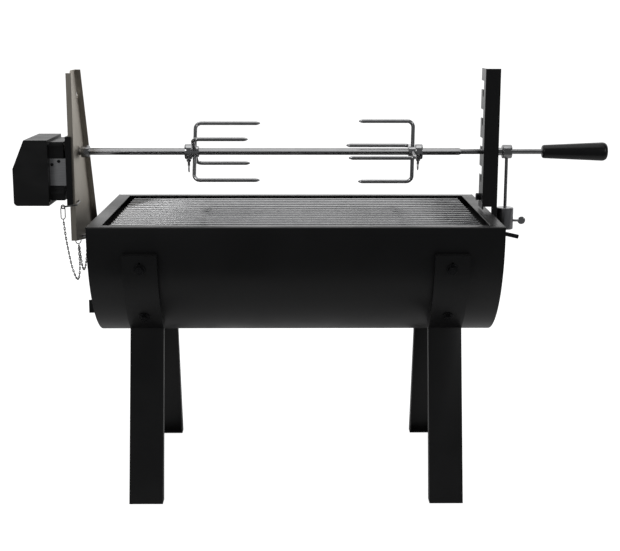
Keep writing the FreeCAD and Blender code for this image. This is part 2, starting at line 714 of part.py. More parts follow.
def gears():
    """Where each axle of the gear train lies, as (y, z), and how far each gear is turned."""
    distance = num("gear_module") * (num("pinion_teeth") + num("wheel_teeth")) / 2
    drive = (0.0, num("spit_z"))
    down, up = math.radians(-37), math.radians(18)
    idler = (drive[0] + distance * math.cos(down), drive[1] + distance * math.sin(down))
    motor = (idler[0] + distance * math.cos(up), idler[1] + distance * math.sin(up))
    return {"drive": drive, "idler": idler, "motor": motor, "down": -37.0, "up": 18.0}


def gear(teeth, thick, turn, bore):
    """A spur gear about X: involute flanks in a few chords, thinned a little so that it runs free."""
    module, pressure, slack = num("gear_module"), math.radians(22), 0.1
    pitch = module * teeth / 2
    base, tip, root = pitch * math.cos(pressure), pitch + module * 0.8, pitch - module * 1.05
    half = math.pi / teeth / 2 - slack / pitch / 2 + math.tan(pressure) - pressure
    corners = []
    for i in range(int(teeth)):
        middle = 2 * math.pi * i / teeth + math.radians(turn)
        flank = []
        low = max(base, root)
        for step in range(4):
            radius = low + (tip - low) * step / 3
            roll = math.sqrt(max((radius / base) ** 2 - 1, 0))
            flank.append((radius, half - (roll - math.atan(roll))))
        if root < low:
            flank.insert(0, (root, flank[0][1] * 1.02))
        corners += [(r, middle - a) for r, a in flank]
        corners += [(r, middle + a) for r, a in reversed(flank)]
    points = [Vector(0, r * math.cos(a), r * math.sin(a)) for r, a in corners]
    solid = Part.Face(Part.makePolygon(points + points[:1])).extrude(Vector(thick, 0, 0))
    if bore:
        solid = solid.cut(Part.makeCylinder(bore, thick + 2, Vector(-1, 0, 0), Vector(1, 0, 0)))
    return solid


def at(x, axle):
    return Vector(x, axle[0], axle[1])


def gear_train():
    """Motor, pinion, two-step idler and the drive wheel with its square-bored shaft."""
    where = gears()
    small, large = num("pinion_teeth"), num("wheel_teeth")
    near, far, thick = -392.0, -386.0, 4.0
    way = Vector(1, 0, 0)
    can = Part.makeCylinder(11.5, 14, at(-410, where["motor"]), way)
    can = can.fuse(Part.makeCylinder(3.2, 2, at(-396, where["motor"]), way)).removeSplitter()
    can = can.cut(Part.makeCylinder(1.06, 6, at(-399, where["motor"]), way))
    feature("motor_can", can)
    pinion = gear(small, thick, where["up"] + 180, 0)
    pinion.translate(at(near, where["motor"]))
    pinion = pinion.fuse(Part.makeCylinder(1.0, 8, at(near - 6.9, where["motor"]), way)).removeSplitter()
    feature("motor_pinion", pinion)
    wheel = gear(large, thick, where["up"] + 180 / large, 0)
    wheel.translate(at(near, where["idler"]))
    mate = gear(small, thick + 4, where["down"] + 180, 0)
    mate.translate(at(near + thick - 0.5, where["idler"]))
    idler = wheel.fuse(mate).removeSplitter()
    idler = idler.cut(Part.makeCylinder(1.56, 20, at(near - 2, where["idler"]), way))
    feature("idler_gear", idler)
    feature("idler_pin", Part.makeCylinder(1.5, 24.6, at(near - 2, where["idler"]), way))
    drive = gear(large, thick - 0.5, where["down"] + 180 / large, 0)
    drive.translate(at(far + 1, where["drive"]))
    shaft = Part.makeCylinder(8, 45, at(far, where["drive"]), way)
    shaft = shaft.fuse(drive).removeSplitter()
    shaft = shaft.cut(square_bar(num("rod_flat") + 0.3, -364, 30, where["drive"][1]))
    feature("drive_socket", shaft)
    bushes = []
    for x in (num("case_right") - num("case_wall"), num("neck_end") - num("case_wall")):
        ring = Part.makeCylinder(9.55, num("case_wall"), at(x, where["drive"]), way)
        bushes.append(ring.cut(Part.makeCylinder(8.06, 9, at(x - 2, where["drive"]), way)))
    feature("drive_bushes", Part.makeCompound(bushes))


def square_bar(flat, start, length, z):
    """A square bar along X, standing on its corner."""
    bar = Part.makeBox(length, flat, flat, Vector(0, -flat / 2, -flat / 2))
    bar.rotate(Vector(0, 0, 0), Vector(1, 0, 0), 45)
    bar.translate(Vector(start, 0, z))
    return bar


def case_screws():
    """The four screws that close the motor's case."""
    screws = []
    for y, z in SCREW_PLACES:
        seat = Vector(num("case_right"), y, z)
        screw = Part.makeCylinder(1.25, 14, seat, Vector(-1, 0, 0))
        screws.append(screw.fuse(Part.makeCylinder(2.8, 1.8, seat, Vector(1, 0, 0))).removeSplitter())
    feature("case_screws", Part.makeCompound(screws))


def power():
    """The dry cell, its contacts, the hinged door behind it and the slide switch."""
    x, z = num("battery_x"), num("battery_z")
    back = Vector(0, 1, 0)
    cell = Part.makeCylinder(16.4, 58.5, Vector(x, -12, z), back)
    cell = cell.fuse(Part.makeCylinder(5, 2, Vector(x, -14, z), back)).removeSplitter()
    feature("battery", cell)
    front = Part.makeBox(12, 0.8, 22, Vector(x - 6, -14.9, z - 11))
    rear = Part.makeCone(7, 3.5, 8.6, Vector(x, 46.6, z), back)
    feature("battery_contacts", Part.makeCompound([front, rear]))
    body = Sheetwork("battery_door")
    body.pad("Y", rectangle(-418.5, -379.5, 438.2, 474), 58.2, 2)
    body.pad("X", [(58.2, 438.3), (60.2, 438.3), (61.9, 435.6), (60.6, 432.9), (59.1, 435.4)], -409, 20)
    body.disc("X", 60.6, 434.6, 1.25, -413.4, 28.6)
    body.done()
    body = Sheetwork("switch_slider")
    left, middle = D["case_left"], D["switch_z"]
    body.pad("X", rectangle(-34.5, -26.5, middle - 4.5, middle + 4.5), left - D["switch_reach"], 2.8)
    body.pad("X", rectangle(-33, -28, middle - 2.5, middle + 2.5), left - 0.5, 5)
    body.done()
    block = Part.makeBox(8, 22, 12, Vector(num("case_left") + 4.8, -38, num("switch_z") - 6))
    feature("switch_block", block)


# ---------------------------------------------------------------- spit

def spit():
    """The square rod with its round neck, the collar at its left end and the grip."""
    z = num("spit_z")
    start, change = num("rod_left"), num("rod_square_end")
    bar = square_bar(num("rod_flat"), start, change - start, z)
    reach = num("grip_start") + 30 - change
    neck = Part.makeCylinder(num("neck_radius"), reach, Vector(change, 0, z), Vector(1, 0, 0))
    feature("spit_rod", bar.fuse(neck).removeSplitter())
    collar = Part.makeCylinder(9.3, 13, Vector(-331.8, 0, z), Vector(1, 0, 0))
    collar = collar.makeChamfer(1.2, [e for e in collar.Edges if e.Curve.TypeId == "Part::GeomCircle"])
    collar = collar.cut(square_bar(num("rod_flat") + 0.04, -340, 30, z))
    feature("rod_collar", collar)
    length = D["grip_end"] - D["grip_start"]
    body = Sheetwork("spit_handle")
    body.turn([(0, 0), (0, 8.8), (2.5, 10.3), (length - 7, 14.3), (length - 3, 13.8),
               (length - 0.8, 10.8), (length, 5.5), (length, 0)])
    body.cut("X", -1, 31.1, holes=[(0, 0, D["neck_radius"] + 0.02)])
    body.done(D["grip_start"], 0, D["spit_z"])


def fork(name, hub, way, long_first, tilt, screw_angle):
    """A hub with two crossed wires, each bent into a pair of pointed tines, about the spit."""
    wire, reach = num("tine_wire"), num("tine_radius")
    axis = Vector(way, 0, 0)
    collar_radius, collar_length, neck_radius, neck_length = 11.8, 11, 8.6, 10.7
    solid = Part.makeCylinder(collar_radius, collar_length, Vector(0, 0, 0), axis)
    solid = solid.fuse(Part.makeCylinder(neck_radius, neck_length, axis * collar_length, axis))
    base = axis * 15.2
    for turn, long in ((90, long_first), (0, not long_first)):
        angle = math.radians(turn + tilt)
        side = Vector(0, math.cos(angle), math.sin(angle))
        tip = axis * (109.5 if long else 92.5)
        path = [side * reach + tip, side * reach + base, side * -reach + base, side * -reach + tip]
        solid = solid.fuse(round_bar(path, (9, 9), wire))
        for edge in (1, -1):
            point = side * (edge * reach) + tip
            solid = solid.fuse(Part.makeCone(wire, 0.7, 6.5, point, axis))
    solid = solid.cut(square_bar(num("rod_flat") + 0.3, -60, 120, 0.0))
    turned = math.radians(screw_angle)
    screw_way = Vector(0, math.sin(turned), -math.cos(turned))
    seat = axis * (collar_length / 2)
    solid = solid.cut(Part.makeCylinder(2.06, 20, seat, screw_way))
    feature(name, solid.removeSplitter(), x=Size(hub), z=num("spit_z"))
    screw = Part.makeCylinder(2.0, 17, seat + screw_way * 6, screw_way)
    screw = screw.fuse(Part.makeCylinder(3.6, 3.5, seat + screw_way * 12.3, screw_way))
    screw = screw.fuse(wing(seat + screw_way * 27, Vector(1, 0, 0), 6.3, 2.4))
    feature(name + "_screw", screw.removeSplitter(), x=Size(hub), z=num("spit_z"))


def wing(centre, normal, radius, thick):
    """A flat round thumb piece at the end of a screw."""
    return Part.makeCylinder(radius, thick, centre - normal * (thick / 2), normal)


def balance():
    """Collar on the spit's neck, the arm below it, and the sliding weight with its screw."""
    z, x = num("spit_z"), 327.0
    neck = num("neck_radius")
    way, down = Vector(1, 0, 0), Vector(0, 0, -1)
    collar = Part.makeCylinder(10.6, 15, Vector(x - 7.5, 0, z), way)
    collar = collar.makeChamfer(1.6, [e for e in collar.Edges if e.Curve.TypeId == "Part::GeomCircle"])
    collar = collar.fuse(Part.makeCylinder(6, 6.4, Vector(x - 13.9, 0, z), way)).removeSplitter()
    collar = collar.cut(Part.makeCylinder(neck + 0.02, 40, Vector(x - 20, 0, z), way))
    collar = collar.cut(Part.makeCylinder(2.52, 20, Vector(x, 0, z), down))
    feature("balance_collar", collar)
    arm = Part.makeCylinder(2.5, 113, Vector(x, 0, z - neck - 0.1), down)
    feature("balance_arm", arm)
    weight = Part.makeCylinder(13.2, 34, Vector(x, 0, 387.3), Vector(0, 0, 1))
    weight = weight.makeChamfer(1.0, [e for e in weight.Edges if e.Curve.TypeId == "Part::GeomCircle"])
    weight = weight.cut(Part.makeCylinder(2.56, 60, Vector(x, 0, 380), Vector(0, 0, 1)))
    weight = weight.cut(Part.makeCylinder(2.06, 20, Vector(x, 0, 400.5), way))
    feature("balance_weight", weight)
    screw = Part.makeCylinder(2.0, 19.5, Vector(x + 2.7, 0, 400.5), way)
    screw = screw.fuse(wing(Vector(x + 26.5, 0, 400.5), Vector(0, 1, 0), 6.2, 2.4))
    feature("weight_screw", screw.removeSplitter())


# ---------------------------------------------------------------- vent and motor pin

def vent():
    """A slider on the left end with a bent tab, which covers or bares three round holes."""
    face = -D["barrel_length"] / 2
    y, z = D["vent_y"], D["vent_z"]
    body = Sheetwork("vent_slider")
    body.pad("X", rectangle(y - 38, y + 24, z - 10, z + 10), face - 1.7, 1.5)
    body.pad("Y", rectangle(face - 14, face - 0.2, z - 10, z + 10), y - 38, 2)
    body.cut("X", face - 3, 4, holes=[(y + D["vent_pitch"] * i - 15, z, D["vent_hole"]) for i in (0, 1, 2)])
    body.done()
    body = Sheetwork("vent_guides")
    for low in (z - 14, z + 10.3):
        body.pad("X", rectangle(y - 20, y + 20, low, low + 3.7), face - 1.9, 1.9)
    for low in (z - 14, z + 8):
        body.pad("X", rectangle(y - 20, y + 20, low, low + 6), face - 3.2, 1.3)
    body.done()


def motor_hook():
    """The wire hook that holds the motor's plate to the upright, and the ring in its eye."""
    hole_y, hole_z = num("hook_y"), num("hook_z")
    route = [Vector(-338.8, hole_y, hole_z), Vector(-331.8, hole_y, hole_z),
             Vector(-331.8, -58, 433.4), Vector(-348.8, -61.5, 431.4)]
    hook = round_bar(route, [2.6, 2.6], 1.3)
    eye = Part.makeTorus(2.7, 0.9, Vector(-351.9, -61.8, 431), Vector(0.1, 1, 0))
    feature("motor_hook", hook.fuse(eye).removeSplitter())
    feature("hook_ring", oval_ring(Vector(-352.1, -61.8, 421.8), Vector(0.7, 0.7, 0), 9.6, 0.7, 3.8))


CHAINS = {
    "hook_chain": [(-351.9, -61.8, 411.3), (-350.6, -60, 392), (-348, -56.5, 368), (-345.2, -51.5, 345),
                   (-342.4, -45.5, 328), (-339.8, -38, 316), (-338.2, -29, 312), (-338, -19, 318),
                   (-338.6, -9, 331), (-340.4, -2, 346), (-341.8, 1.5, 361)],
    "pin_chain": [(-341.4, 6, 361), (-340.6, 11, 343), (-340, 17, 327), (-339.8, 28, 316),
                  (-340, 43, 315), (-340.6, 60, 323), (-341.6, 78, 340), (-342.4, 92, 363.0)],
}


def chain_cover(name, route, radius):
    """The plain tube that a chain fills: straight runs joined by arcs as large as they allow."""
    points = [Vector(*p) for p in route]
    radii = []
    for before, corner, after in zip(points, points[1:], points[2:]):
        turn = (corner - before).getAngle(after - corner)
        shorter = min((corner - before).Length, (after - corner).Length)
        radii.append(0.45 * shorter / math.tan(turn / 2))
    tube = round_bar(points, radii, radius)
    length = tube.Volume / math.pi / radius ** 2
    print(name, "bend radii", [round(r, 1) for r in radii], "length", round(length, 1))
    feature(name, tube)


BUILD = (barrel_shell, end_panels, legs, leg_fasteners, grate_rails, grates, left_upright, right_upright,
         upright_brackets, lock_pins, upright_bolt, anchor, motor_plate, motor_strap, motor_case,
         motor_cover, gear_train, case_screws, power, spit, balance, vent, motor_hook)


def check_and_write():
    """Stop on any failed object, then write one file for each sub-part."""
    DOC.recompute()
    for thing in DOC.Objects:
        if "Invalid" in thing.State or "Error" in thing.State:
            raise RuntimeError("%s did not recompute: %s" % (thing.Label, thing.State))
    os.makedirs("parts", exist_ok=True)
    for part in PARTS:
        shape = part.Shape
        if shape.isNull() or not shape.isValid() or not shape.Solids:
            raise RuntimeError("%s has no valid solid" % part.Label)
        shape.exportStep("parts/%s.step" % part.Label)
        box = shape.BoundBox
        spans = (box.XMin, box.XMax, box.YMin, box.YMax, box.ZMin, box.ZMax)
        print("%-22s %2d solids %9.0f mm3" % (part.Label, len(shape.Solids), shape.Volume),
              " ".join("%.1f" % span for span in spans))


for step in BUILD:
    step()
fork("left_fork", -171.8, 1, True, -28.5, 8)
fork("right_fork", 195.7, -1, False, 6, 26)
for chain, route in CHAINS.items():
    chain_cover(chain, route, num("chain_radius"))
check_and_write()
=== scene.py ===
"""Charcoal spit roaster: the looks of the barrel, legs, uprights, motor, spit, forks and chains.

Metres. +Z is up, +X runs along the barrel towards the spit's handle, and the user stands at -Y.
Places come from the boxes of the frame's nodes. New pieces are surfaces worked out as arrays.
"""
import json
import math

import bmesh
import bpy
import numpy as np
from bpy.props import FloatProperty, FloatVectorProperty, PointerProperty
from mathutils import Matrix, Vector

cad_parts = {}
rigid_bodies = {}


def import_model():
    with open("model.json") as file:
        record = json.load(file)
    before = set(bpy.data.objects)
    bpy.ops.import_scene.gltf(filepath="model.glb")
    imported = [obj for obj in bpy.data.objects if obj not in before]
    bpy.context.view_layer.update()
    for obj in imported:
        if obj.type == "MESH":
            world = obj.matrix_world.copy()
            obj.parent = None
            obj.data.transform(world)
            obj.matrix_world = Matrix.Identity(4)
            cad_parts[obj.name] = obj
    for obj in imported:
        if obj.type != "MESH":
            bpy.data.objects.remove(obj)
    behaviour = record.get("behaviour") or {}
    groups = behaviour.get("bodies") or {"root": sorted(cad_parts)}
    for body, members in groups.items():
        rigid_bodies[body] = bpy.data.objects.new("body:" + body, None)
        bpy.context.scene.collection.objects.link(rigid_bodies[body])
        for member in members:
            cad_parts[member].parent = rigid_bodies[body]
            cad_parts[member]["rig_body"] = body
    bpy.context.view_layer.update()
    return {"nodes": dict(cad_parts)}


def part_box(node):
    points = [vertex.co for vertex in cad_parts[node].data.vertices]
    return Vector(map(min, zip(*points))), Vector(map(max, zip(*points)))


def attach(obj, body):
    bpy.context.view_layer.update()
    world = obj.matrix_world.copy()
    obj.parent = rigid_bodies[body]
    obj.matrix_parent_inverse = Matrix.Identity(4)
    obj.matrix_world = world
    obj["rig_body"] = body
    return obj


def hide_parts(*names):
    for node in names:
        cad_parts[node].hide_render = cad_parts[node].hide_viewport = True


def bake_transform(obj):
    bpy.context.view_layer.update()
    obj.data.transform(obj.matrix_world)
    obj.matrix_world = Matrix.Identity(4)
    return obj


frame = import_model()

bl_info = {
    "name": "Charcoal Spit Roaster",
    "version": (1, 0, 0),
    "blender": (4, 5, 0),
    "location": "View3D > Sidebar > Roaster",
    "description": "Builds the surfaces, finishes and studio of a charcoal spit roaster",
    "category": "Add Mesh",
}

MM = 0.001


def middle(node):
    """The centre of a node's box."""
    low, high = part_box(node)
    return (low + high) / 2


SPIT = middle("spit_rod")                       # its Y and Z are the spit's axis


# ------------------------------------------------------------------ settings

def length(name, text, default):
    return FloatProperty(name=name, description=text, default=default, unit="LENGTH", precision=4)


def tint(name, text, default):
    return FloatVectorProperty(name=name, description=text, default=default, subtype="COLOR",
                               size=3, min=0, max=1)


class RoasterSizes(bpy.types.PropertyGroup):
    """Sizes that the frame's boxes don't give."""

    rim_flange: length("Rim flange", "How far the barrel's long rims turn in", 18 * MM)
    rim_bend: length("Rim bend", "Outer radius of the folded rim", 2.6 * MM)
    sheet: length("Sheet", "Thickness of the barrel's sheet", 1.5 * MM)
    rod_flat: length("Rod", "Distance across the flats of the spit", 8 * MM)
    rod_corner: length("Rod corner", "Distance from the axis to the rod's rounded corner", 5.35 * MM)
    square_end: length("Square end", "End of the rod's square part, from the spit's right end", 156.9 * MM)
    neck_radius: length("Neck", "Radius of the spit's round neck", 4 * MM)
    tine_radius: length("Tines", "Distance from the spit to a tine", 47.5 * MM)
    tine_wire: length("Tine wire", "Radius of a fork's wire", 3.0 * MM)
    tine_bend: length("Tine bend", "Bend radius of a fork's wire", 9 * MM)
    tine_back: length("Tine back", "Distance from the hub's outer face to the wires' backs", 15.2 * MM)
    tine_long: length("Long tine", "Distance from the hub's outer face to a long tine's end", 109.5 * MM)
    tine_short: length("Short tine", "Distance from the hub's outer face to a short tine's end", 92.5 * MM)
    tine_point: length("Tine point", "Length of a tine's ground point", 6.5 * MM)
    screw_seat: length("Screw seat", "Distance from the hub's outer face to its screw", 5.5 * MM)
    grate_wire: length("Grate wire", "Radius of the cooking grate's wire", 2.5 * MM)
    grate_bar: length("Grate bar", "Distance from the cooking grate's middle to an outer crossbar", 266 * MM)
    coal_wire: length("Coal wire", "Radius of the charcoal grate's wire", 2 * MM)
    coal_bar: length("Coal bar", "Distance from the charcoal grate's middle to an outer bar", 78 * MM)
    link_wire: length("Link wire", "Radius of a chain link's wire", 0.62 * MM)
    link_width: length("Link width", "Width of a chain link", 3.4 * MM)
    link_pitch: length("Link pitch", "Distance from one chain link to the next", 3.9 * MM)


class RoasterTints(bpy.types.PropertyGroup):
    """Base colours of the finishes."""

    paint: tint("Barrel paint", "Satin black heat-resistant paint", (0.0095, 0.0095, 0.0098))
    # The warm brown cast in this tint is a painted reflection of brown surroundings, not the steel's own
    # colour.
    stainless: tint("Stainless", "Brushed sheet of the left upright", (0.60, 0.555, 0.48))
    chrome: tint("Chrome", "Bright plate on wires and rods", (0.56, 0.56, 0.565))
    zinc: tint("Zinc", "Plated fasteners", (0.34, 0.34, 0.345))
    moulding: tint("Motor plastic", "Black plastic of the motor", (0.012, 0.012, 0.0122))
    grip: tint("Grip plastic", "Black plastic of the handle", (0.007, 0.007, 0.0072))
    floor: tint("Floor", "Pale studio floor", (0.90, 0.90, 0.90))


def tints():
    return bpy.context.scene.roaster_tints


# ------------------------------------------------------------------ finishes

class Wire:
    """A socket that takes part in sums: each operator adds a Math node to the same tree."""

    def __init__(self, shader, socket):
        self.shader = shader
        self.socket = socket

    def math(self, operation, *values):
        return self.shader.add("ShaderNodeMath", {"operation": operation}, dict(enumerate(values)))

    def __add__(self, other):
        return self.math("ADD", self, other)

    def __mul__(self, other):
        return self.math("MULTIPLY", self, other)

    def __pow__(self, other):
        return self.math("POWER", self, other)


class Shader:
    """A new material, its node tree and its one surface shader."""

    def __init__(self, name):
        self.material = bpy.data.materials.new(name)
        self.material.use_nodes = True
        self.tree = self.material.node_tree
        self.surface = self.tree.nodes["Principled BSDF"]
        self.place = self.add("ShaderNodeTexCoord", out="Object")

    def feed(self, socket, value):
        if isinstance(value, Wire):
            self.tree.links.new(value.socket, socket)
        else:
            socket.default_value = value

    def add(self, kind, settings=None, sockets=None, out=0):
        """Add a node: its settings come first, then the values or links of its sockets."""
        node = self.tree.nodes.new(kind)
        for key, value in (settings or {}).items():
            setattr(node, key, value)
        for key, value in (sockets or {}).items():
            self.feed(node.inputs[key], value)
        return Wire(self, node.outputs[out])

    def noise(self, scale, detail=3.0, stretch=(1, 1, 1)):
        """Noise from 0 to 1 on the piece's own coordinates; a larger stretch is finer that way."""
        place = self.add("ShaderNodeMapping", None, {"Vector": self.place, "Scale": stretch})
        return self.add("ShaderNodeTexNoise", None, {"Vector": place, "Scale": scale, "Detail": detail})

    def spread(self, value, low, high):
        """Stretch a noise value from its usual 0.35-0.65 to low-high, held at both ends."""
        sockets = {"Value": value, "From Min": 0.35, "From Max": 0.65, "To Min": low, "To Max": high}
        return self.add("ShaderNodeMapRange", None, sockets)

    def blend(self, share, first, second):
        """Mix two colours."""
        return self.add("ShaderNodeMix", {"data_type": "RGBA"}, {0: share, 6: first, 7: second}, out=2)

    def bump(self, height, distance, strength=1.0):
        sockets = {"Strength": strength, "Distance": distance, "Height": height}
        return self.add("ShaderNodeBump", None, sockets, out="Normal")

    def set(self, **values):
        """Set sockets of the surface shader; an underscore in a name stands for a space."""
        for name, value in values.items():
            self.feed(self.surface.inputs[name.replace("_", " ")], value)
        return self.material


def shade(colour, factor):
    """A colour times a number, opaque."""
    return tuple(min(1.0, c * factor) for c in colour) + (1.0,)


def satin_paint(name, colour, rough=(0.30, 0.42), coat=0.0):
    """Sprayed paint: a fine orange peel, soft cloudy patches and a little dust that dulls it."""
    s = Shader(name)
    cloud = s.spread(s.noise(9.0, 4.0), 0.0, 1.0)
    peel = s.noise(750.0, 2.0)
    dust = s.spread(s.noise(2600.0, 1.0), 0.0, 1.0) ** 6.0
    base = s.blend(cloud, shade(colour, 0.86), shade(colour, 1.2))
    return s.set(Base_Color=s.blend(dust * 0.5, base, shade(colour, 2.2)),
                 Roughness=cloud * (rough[1] - rough[0]) + rough[0] + dust * 0.08,
                 Coat_Weight=coat, Coat_Roughness=0.35, Specular_IOR_Level=0.4,
                 Normal=s.bump(peel + s.noise(120.0, 2.0) * 0.7, 0.00006, 0.5))


def brushed_sheet(name, colour, stretch=(1, 1, 0.02), rough=(0.26, 0.38)):
    """Brushed metal: long fine scratches along one axis, with broad smudges across them."""
    s = Shader(name)
    lines = s.noise(1800.0, 3.0, stretch)
    smudge = s.spread(s.noise(14.0, 4.0), 0.0, 1.0)
    base = s.blend(s.spread(lines, 0.0, 1.0), shade(colour, 0.84), shade(colour, 1.12))
    return s.set(Base_Color=s.blend(smudge * 0.35, base, shade(colour, 0.86)), Metallic=1.0,
                 Roughness=smudge * (rough[1] - rough[0]) + rough[0],
                 Normal=s.bump(lines, 0.000012, 0.8))


def bright_plate(name, colour, rough=(0.10, 0.18)):
    """Chrome plate on drawn wire: faint draw lines, water spots and a slight haze."""
    s = Shader(name)
    draw = s.noise(1400.0, 2.0, (0.05, 1, 1))
    haze = s.spread(s.noise(60.0, 4.0), 0.0, 1.0)
    spots = s.spread(s.noise(420.0, 1.0), 0.0, 1.0) ** 5.0
    base = s.blend(haze, shade(colour, 0.93), shade(colour, 1.04))
    return s.set(Base_Color=s.blend(spots * 0.3, base, shade(colour, 0.8)), Metallic=1.0,
                 Roughness=haze * (rough[1] - rough[0]) + rough[0] + spots * 0.08,
                 Normal=s.bump(draw, 0.000001, 0.3))


def plated(name, colour, rough=(0.28, 0.42), metallic=1.0):
    """Zinc or phosphate plate: a mottled, slightly crystalline surface."""
    s = Shader(name)
    mottle = s.spread(s.noise(380.0, 4.0), 0.0, 1.0)
    base = s.blend(mottle, shade(colour, 0.8), shade(colour, 1.15))
    return s.set(Base_Color=base, Metallic=metallic, Roughness=mottle * (rough[1] - rough[0]) + rough[0],
                 Normal=s.bump(s.noise(900.0, 2.0), 0.00002, 0.5))


def moulded(name, colour, grain=0.00005, rough=(0.36, 0.48)):
    """Moulded plastic: a fine spark-eroded grain, with flow marks that change its gloss."""
    s = Shader(name)
    flow = s.spread(s.noise(22.0, 3.0, (1, 1, 2.5)), 0.0, 1.0)
    fine = s.add("ShaderNodeTexVoronoi", {"feature": "SMOOTH_F1"}, {"Vector": s.place, "Scale": 1500.0})
    base = s.blend(flow, shade(colour, 0.9), shade(colour, 1.18))
    return s.set(Base_Color=base, Roughness=flow * (rough[1] - rough[0]) + rough[0],
                 Specular_IOR_Level=0.45, Normal=s.bump(fine, grain, 0.6))


def scorched_wire(name):
    """Dull black wire of the charcoal grate, with ash-grey and rusty patches."""
    s = Shader(name)
    ash = s.spread(s.noise(45.0, 5.0), 0.0, 1.0)
    rust = s.spread(s.noise(160.0, 4.0), 0.0, 1.0) ** 3.0
    base = s.blend(ash, (0.022, 0.021, 0.020, 1), (0.060, 0.057, 0.054, 1))
    return s.set(Base_Color=s.blend(rust * 0.6, base, (0.075, 0.036, 0.018, 1)), Metallic=0.35,
                 Roughness=ash * 0.2 + 0.55, Normal=s.bump(s.noise(700.0, 4.0), 0.00008, 0.7))


def make_finishes():
    """All finishes by name; each is made once."""
    t = tints()
    return {
        "paint": satin_paint("satin_black_paint", t.paint),
        "leg_paint": satin_paint("leg_black_paint", shade(t.paint, 0.95)[:3], (0.34, 0.46)),
        "upright_paint": satin_paint("upright_black_paint", shade(t.paint, 1.25)[:3], (0.17, 0.25)),
        "black_zinc": plated("black_zinc", (0.035, 0.035, 0.037), (0.22, 0.36), 0.8),
        # The left upright's stainless carries the tint's warm brown cast, which is a painted reflection.
        "stainless": brushed_sheet("brushed_stainless", t.stainless, (1, 1, 0.02), (0.40, 0.50)),
        "strap": brushed_sheet("strap_steel", (0.58, 0.58, 0.585), (0.03, 1, 1), (0.34, 0.46)),
        "chrome": bright_plate("bright_chrome", t.chrome),
        "rod": bright_plate("drawn_rod", shade(t.chrome, 0.72)[:3], (0.16, 0.22)),
        "turned": brushed_sheet("turned_steel", (0.36, 0.36, 0.37), (1, 1, 40), (0.18, 0.30)),
        "zinc": plated("clear_zinc", t.zinc),
        "chain": plated("chain_steel", (0.16, 0.16, 0.155), (0.22, 0.36)),
        "moulding": moulded("motor_plastic", t.moulding),
        "grip": moulded("grip_plastic", t.grip, 0.00003, (0.26, 0.36)),
        "nylon": moulded("natural_nylon", (0.62, 0.60, 0.54), 0.00002, (0.40, 0.52)),
        "brass": brushed_sheet("turned_brass", (0.60, 0.42, 0.16), (1, 12, 12), (0.20, 0.32)),
        "cell": satin_paint("cell_jacket", (0.05, 0.13, 0.19), (0.22, 0.32), 0.4),
        "coal": scorched_wire("scorched_wire"),
    }


FINISHES = {}


def dress(thing, finish):
    """Give a piece one finish in every material slot."""
    if not FINISHES:
        FINISHES.update(make_finishes())
    thing.data.materials.clear()
    thing.data.materials.append(FINISHES[finish])
    return thing


# ------------------------------------------------------------------ surfaces

def unit(vectors):
    vectors = np.asarray(vectors, float)
    return vectors / np.maximum(np.linalg.norm(vectors, axis=-1, keepdims=True), 1e-12)


def rounded(corners, radius, steps=7):
    """Turn each corner but the first and last into an arc: centre + (sin((1-t) f) a + sin(t f) b) /
    sin f, where a and b run from the arc's centre to its ends and f is the angle between them."""
    p = np.asarray(corners, float)
    into, out = unit(np.roll(p, 1, 0) - p), unit(np.roll(p, -1, 0) - p)
    half = np.arccos(np.clip((into * out).sum(-1), -1, 1)) / 2
    half = np.minimum(half, math.pi / 2 - 1e-4)[:, None]
    bend = np.broadcast_to(np.asarray(radius, float), (len(p),))[:, None]
    centre = p + unit(into + out) * bend / np.sin(half)
    a = p + into * bend / np.tan(half) - centre
    b = p + out * bend / np.tan(half) - centre
    turn = (math.pi - 2 * half)[:, None, :]
    t = np.linspace(0, 1, steps)[None, :, None]
    swing = np.sin((1 - t) * turn) * a[:, None] + np.sin(t * turn) * b[:, None]
    arcs = centre[:, None] + swing / np.sin(turn)
    return np.concatenate([p[:1], arcs[1:-1].reshape(-1, p.shape[1]), p[-1:]])


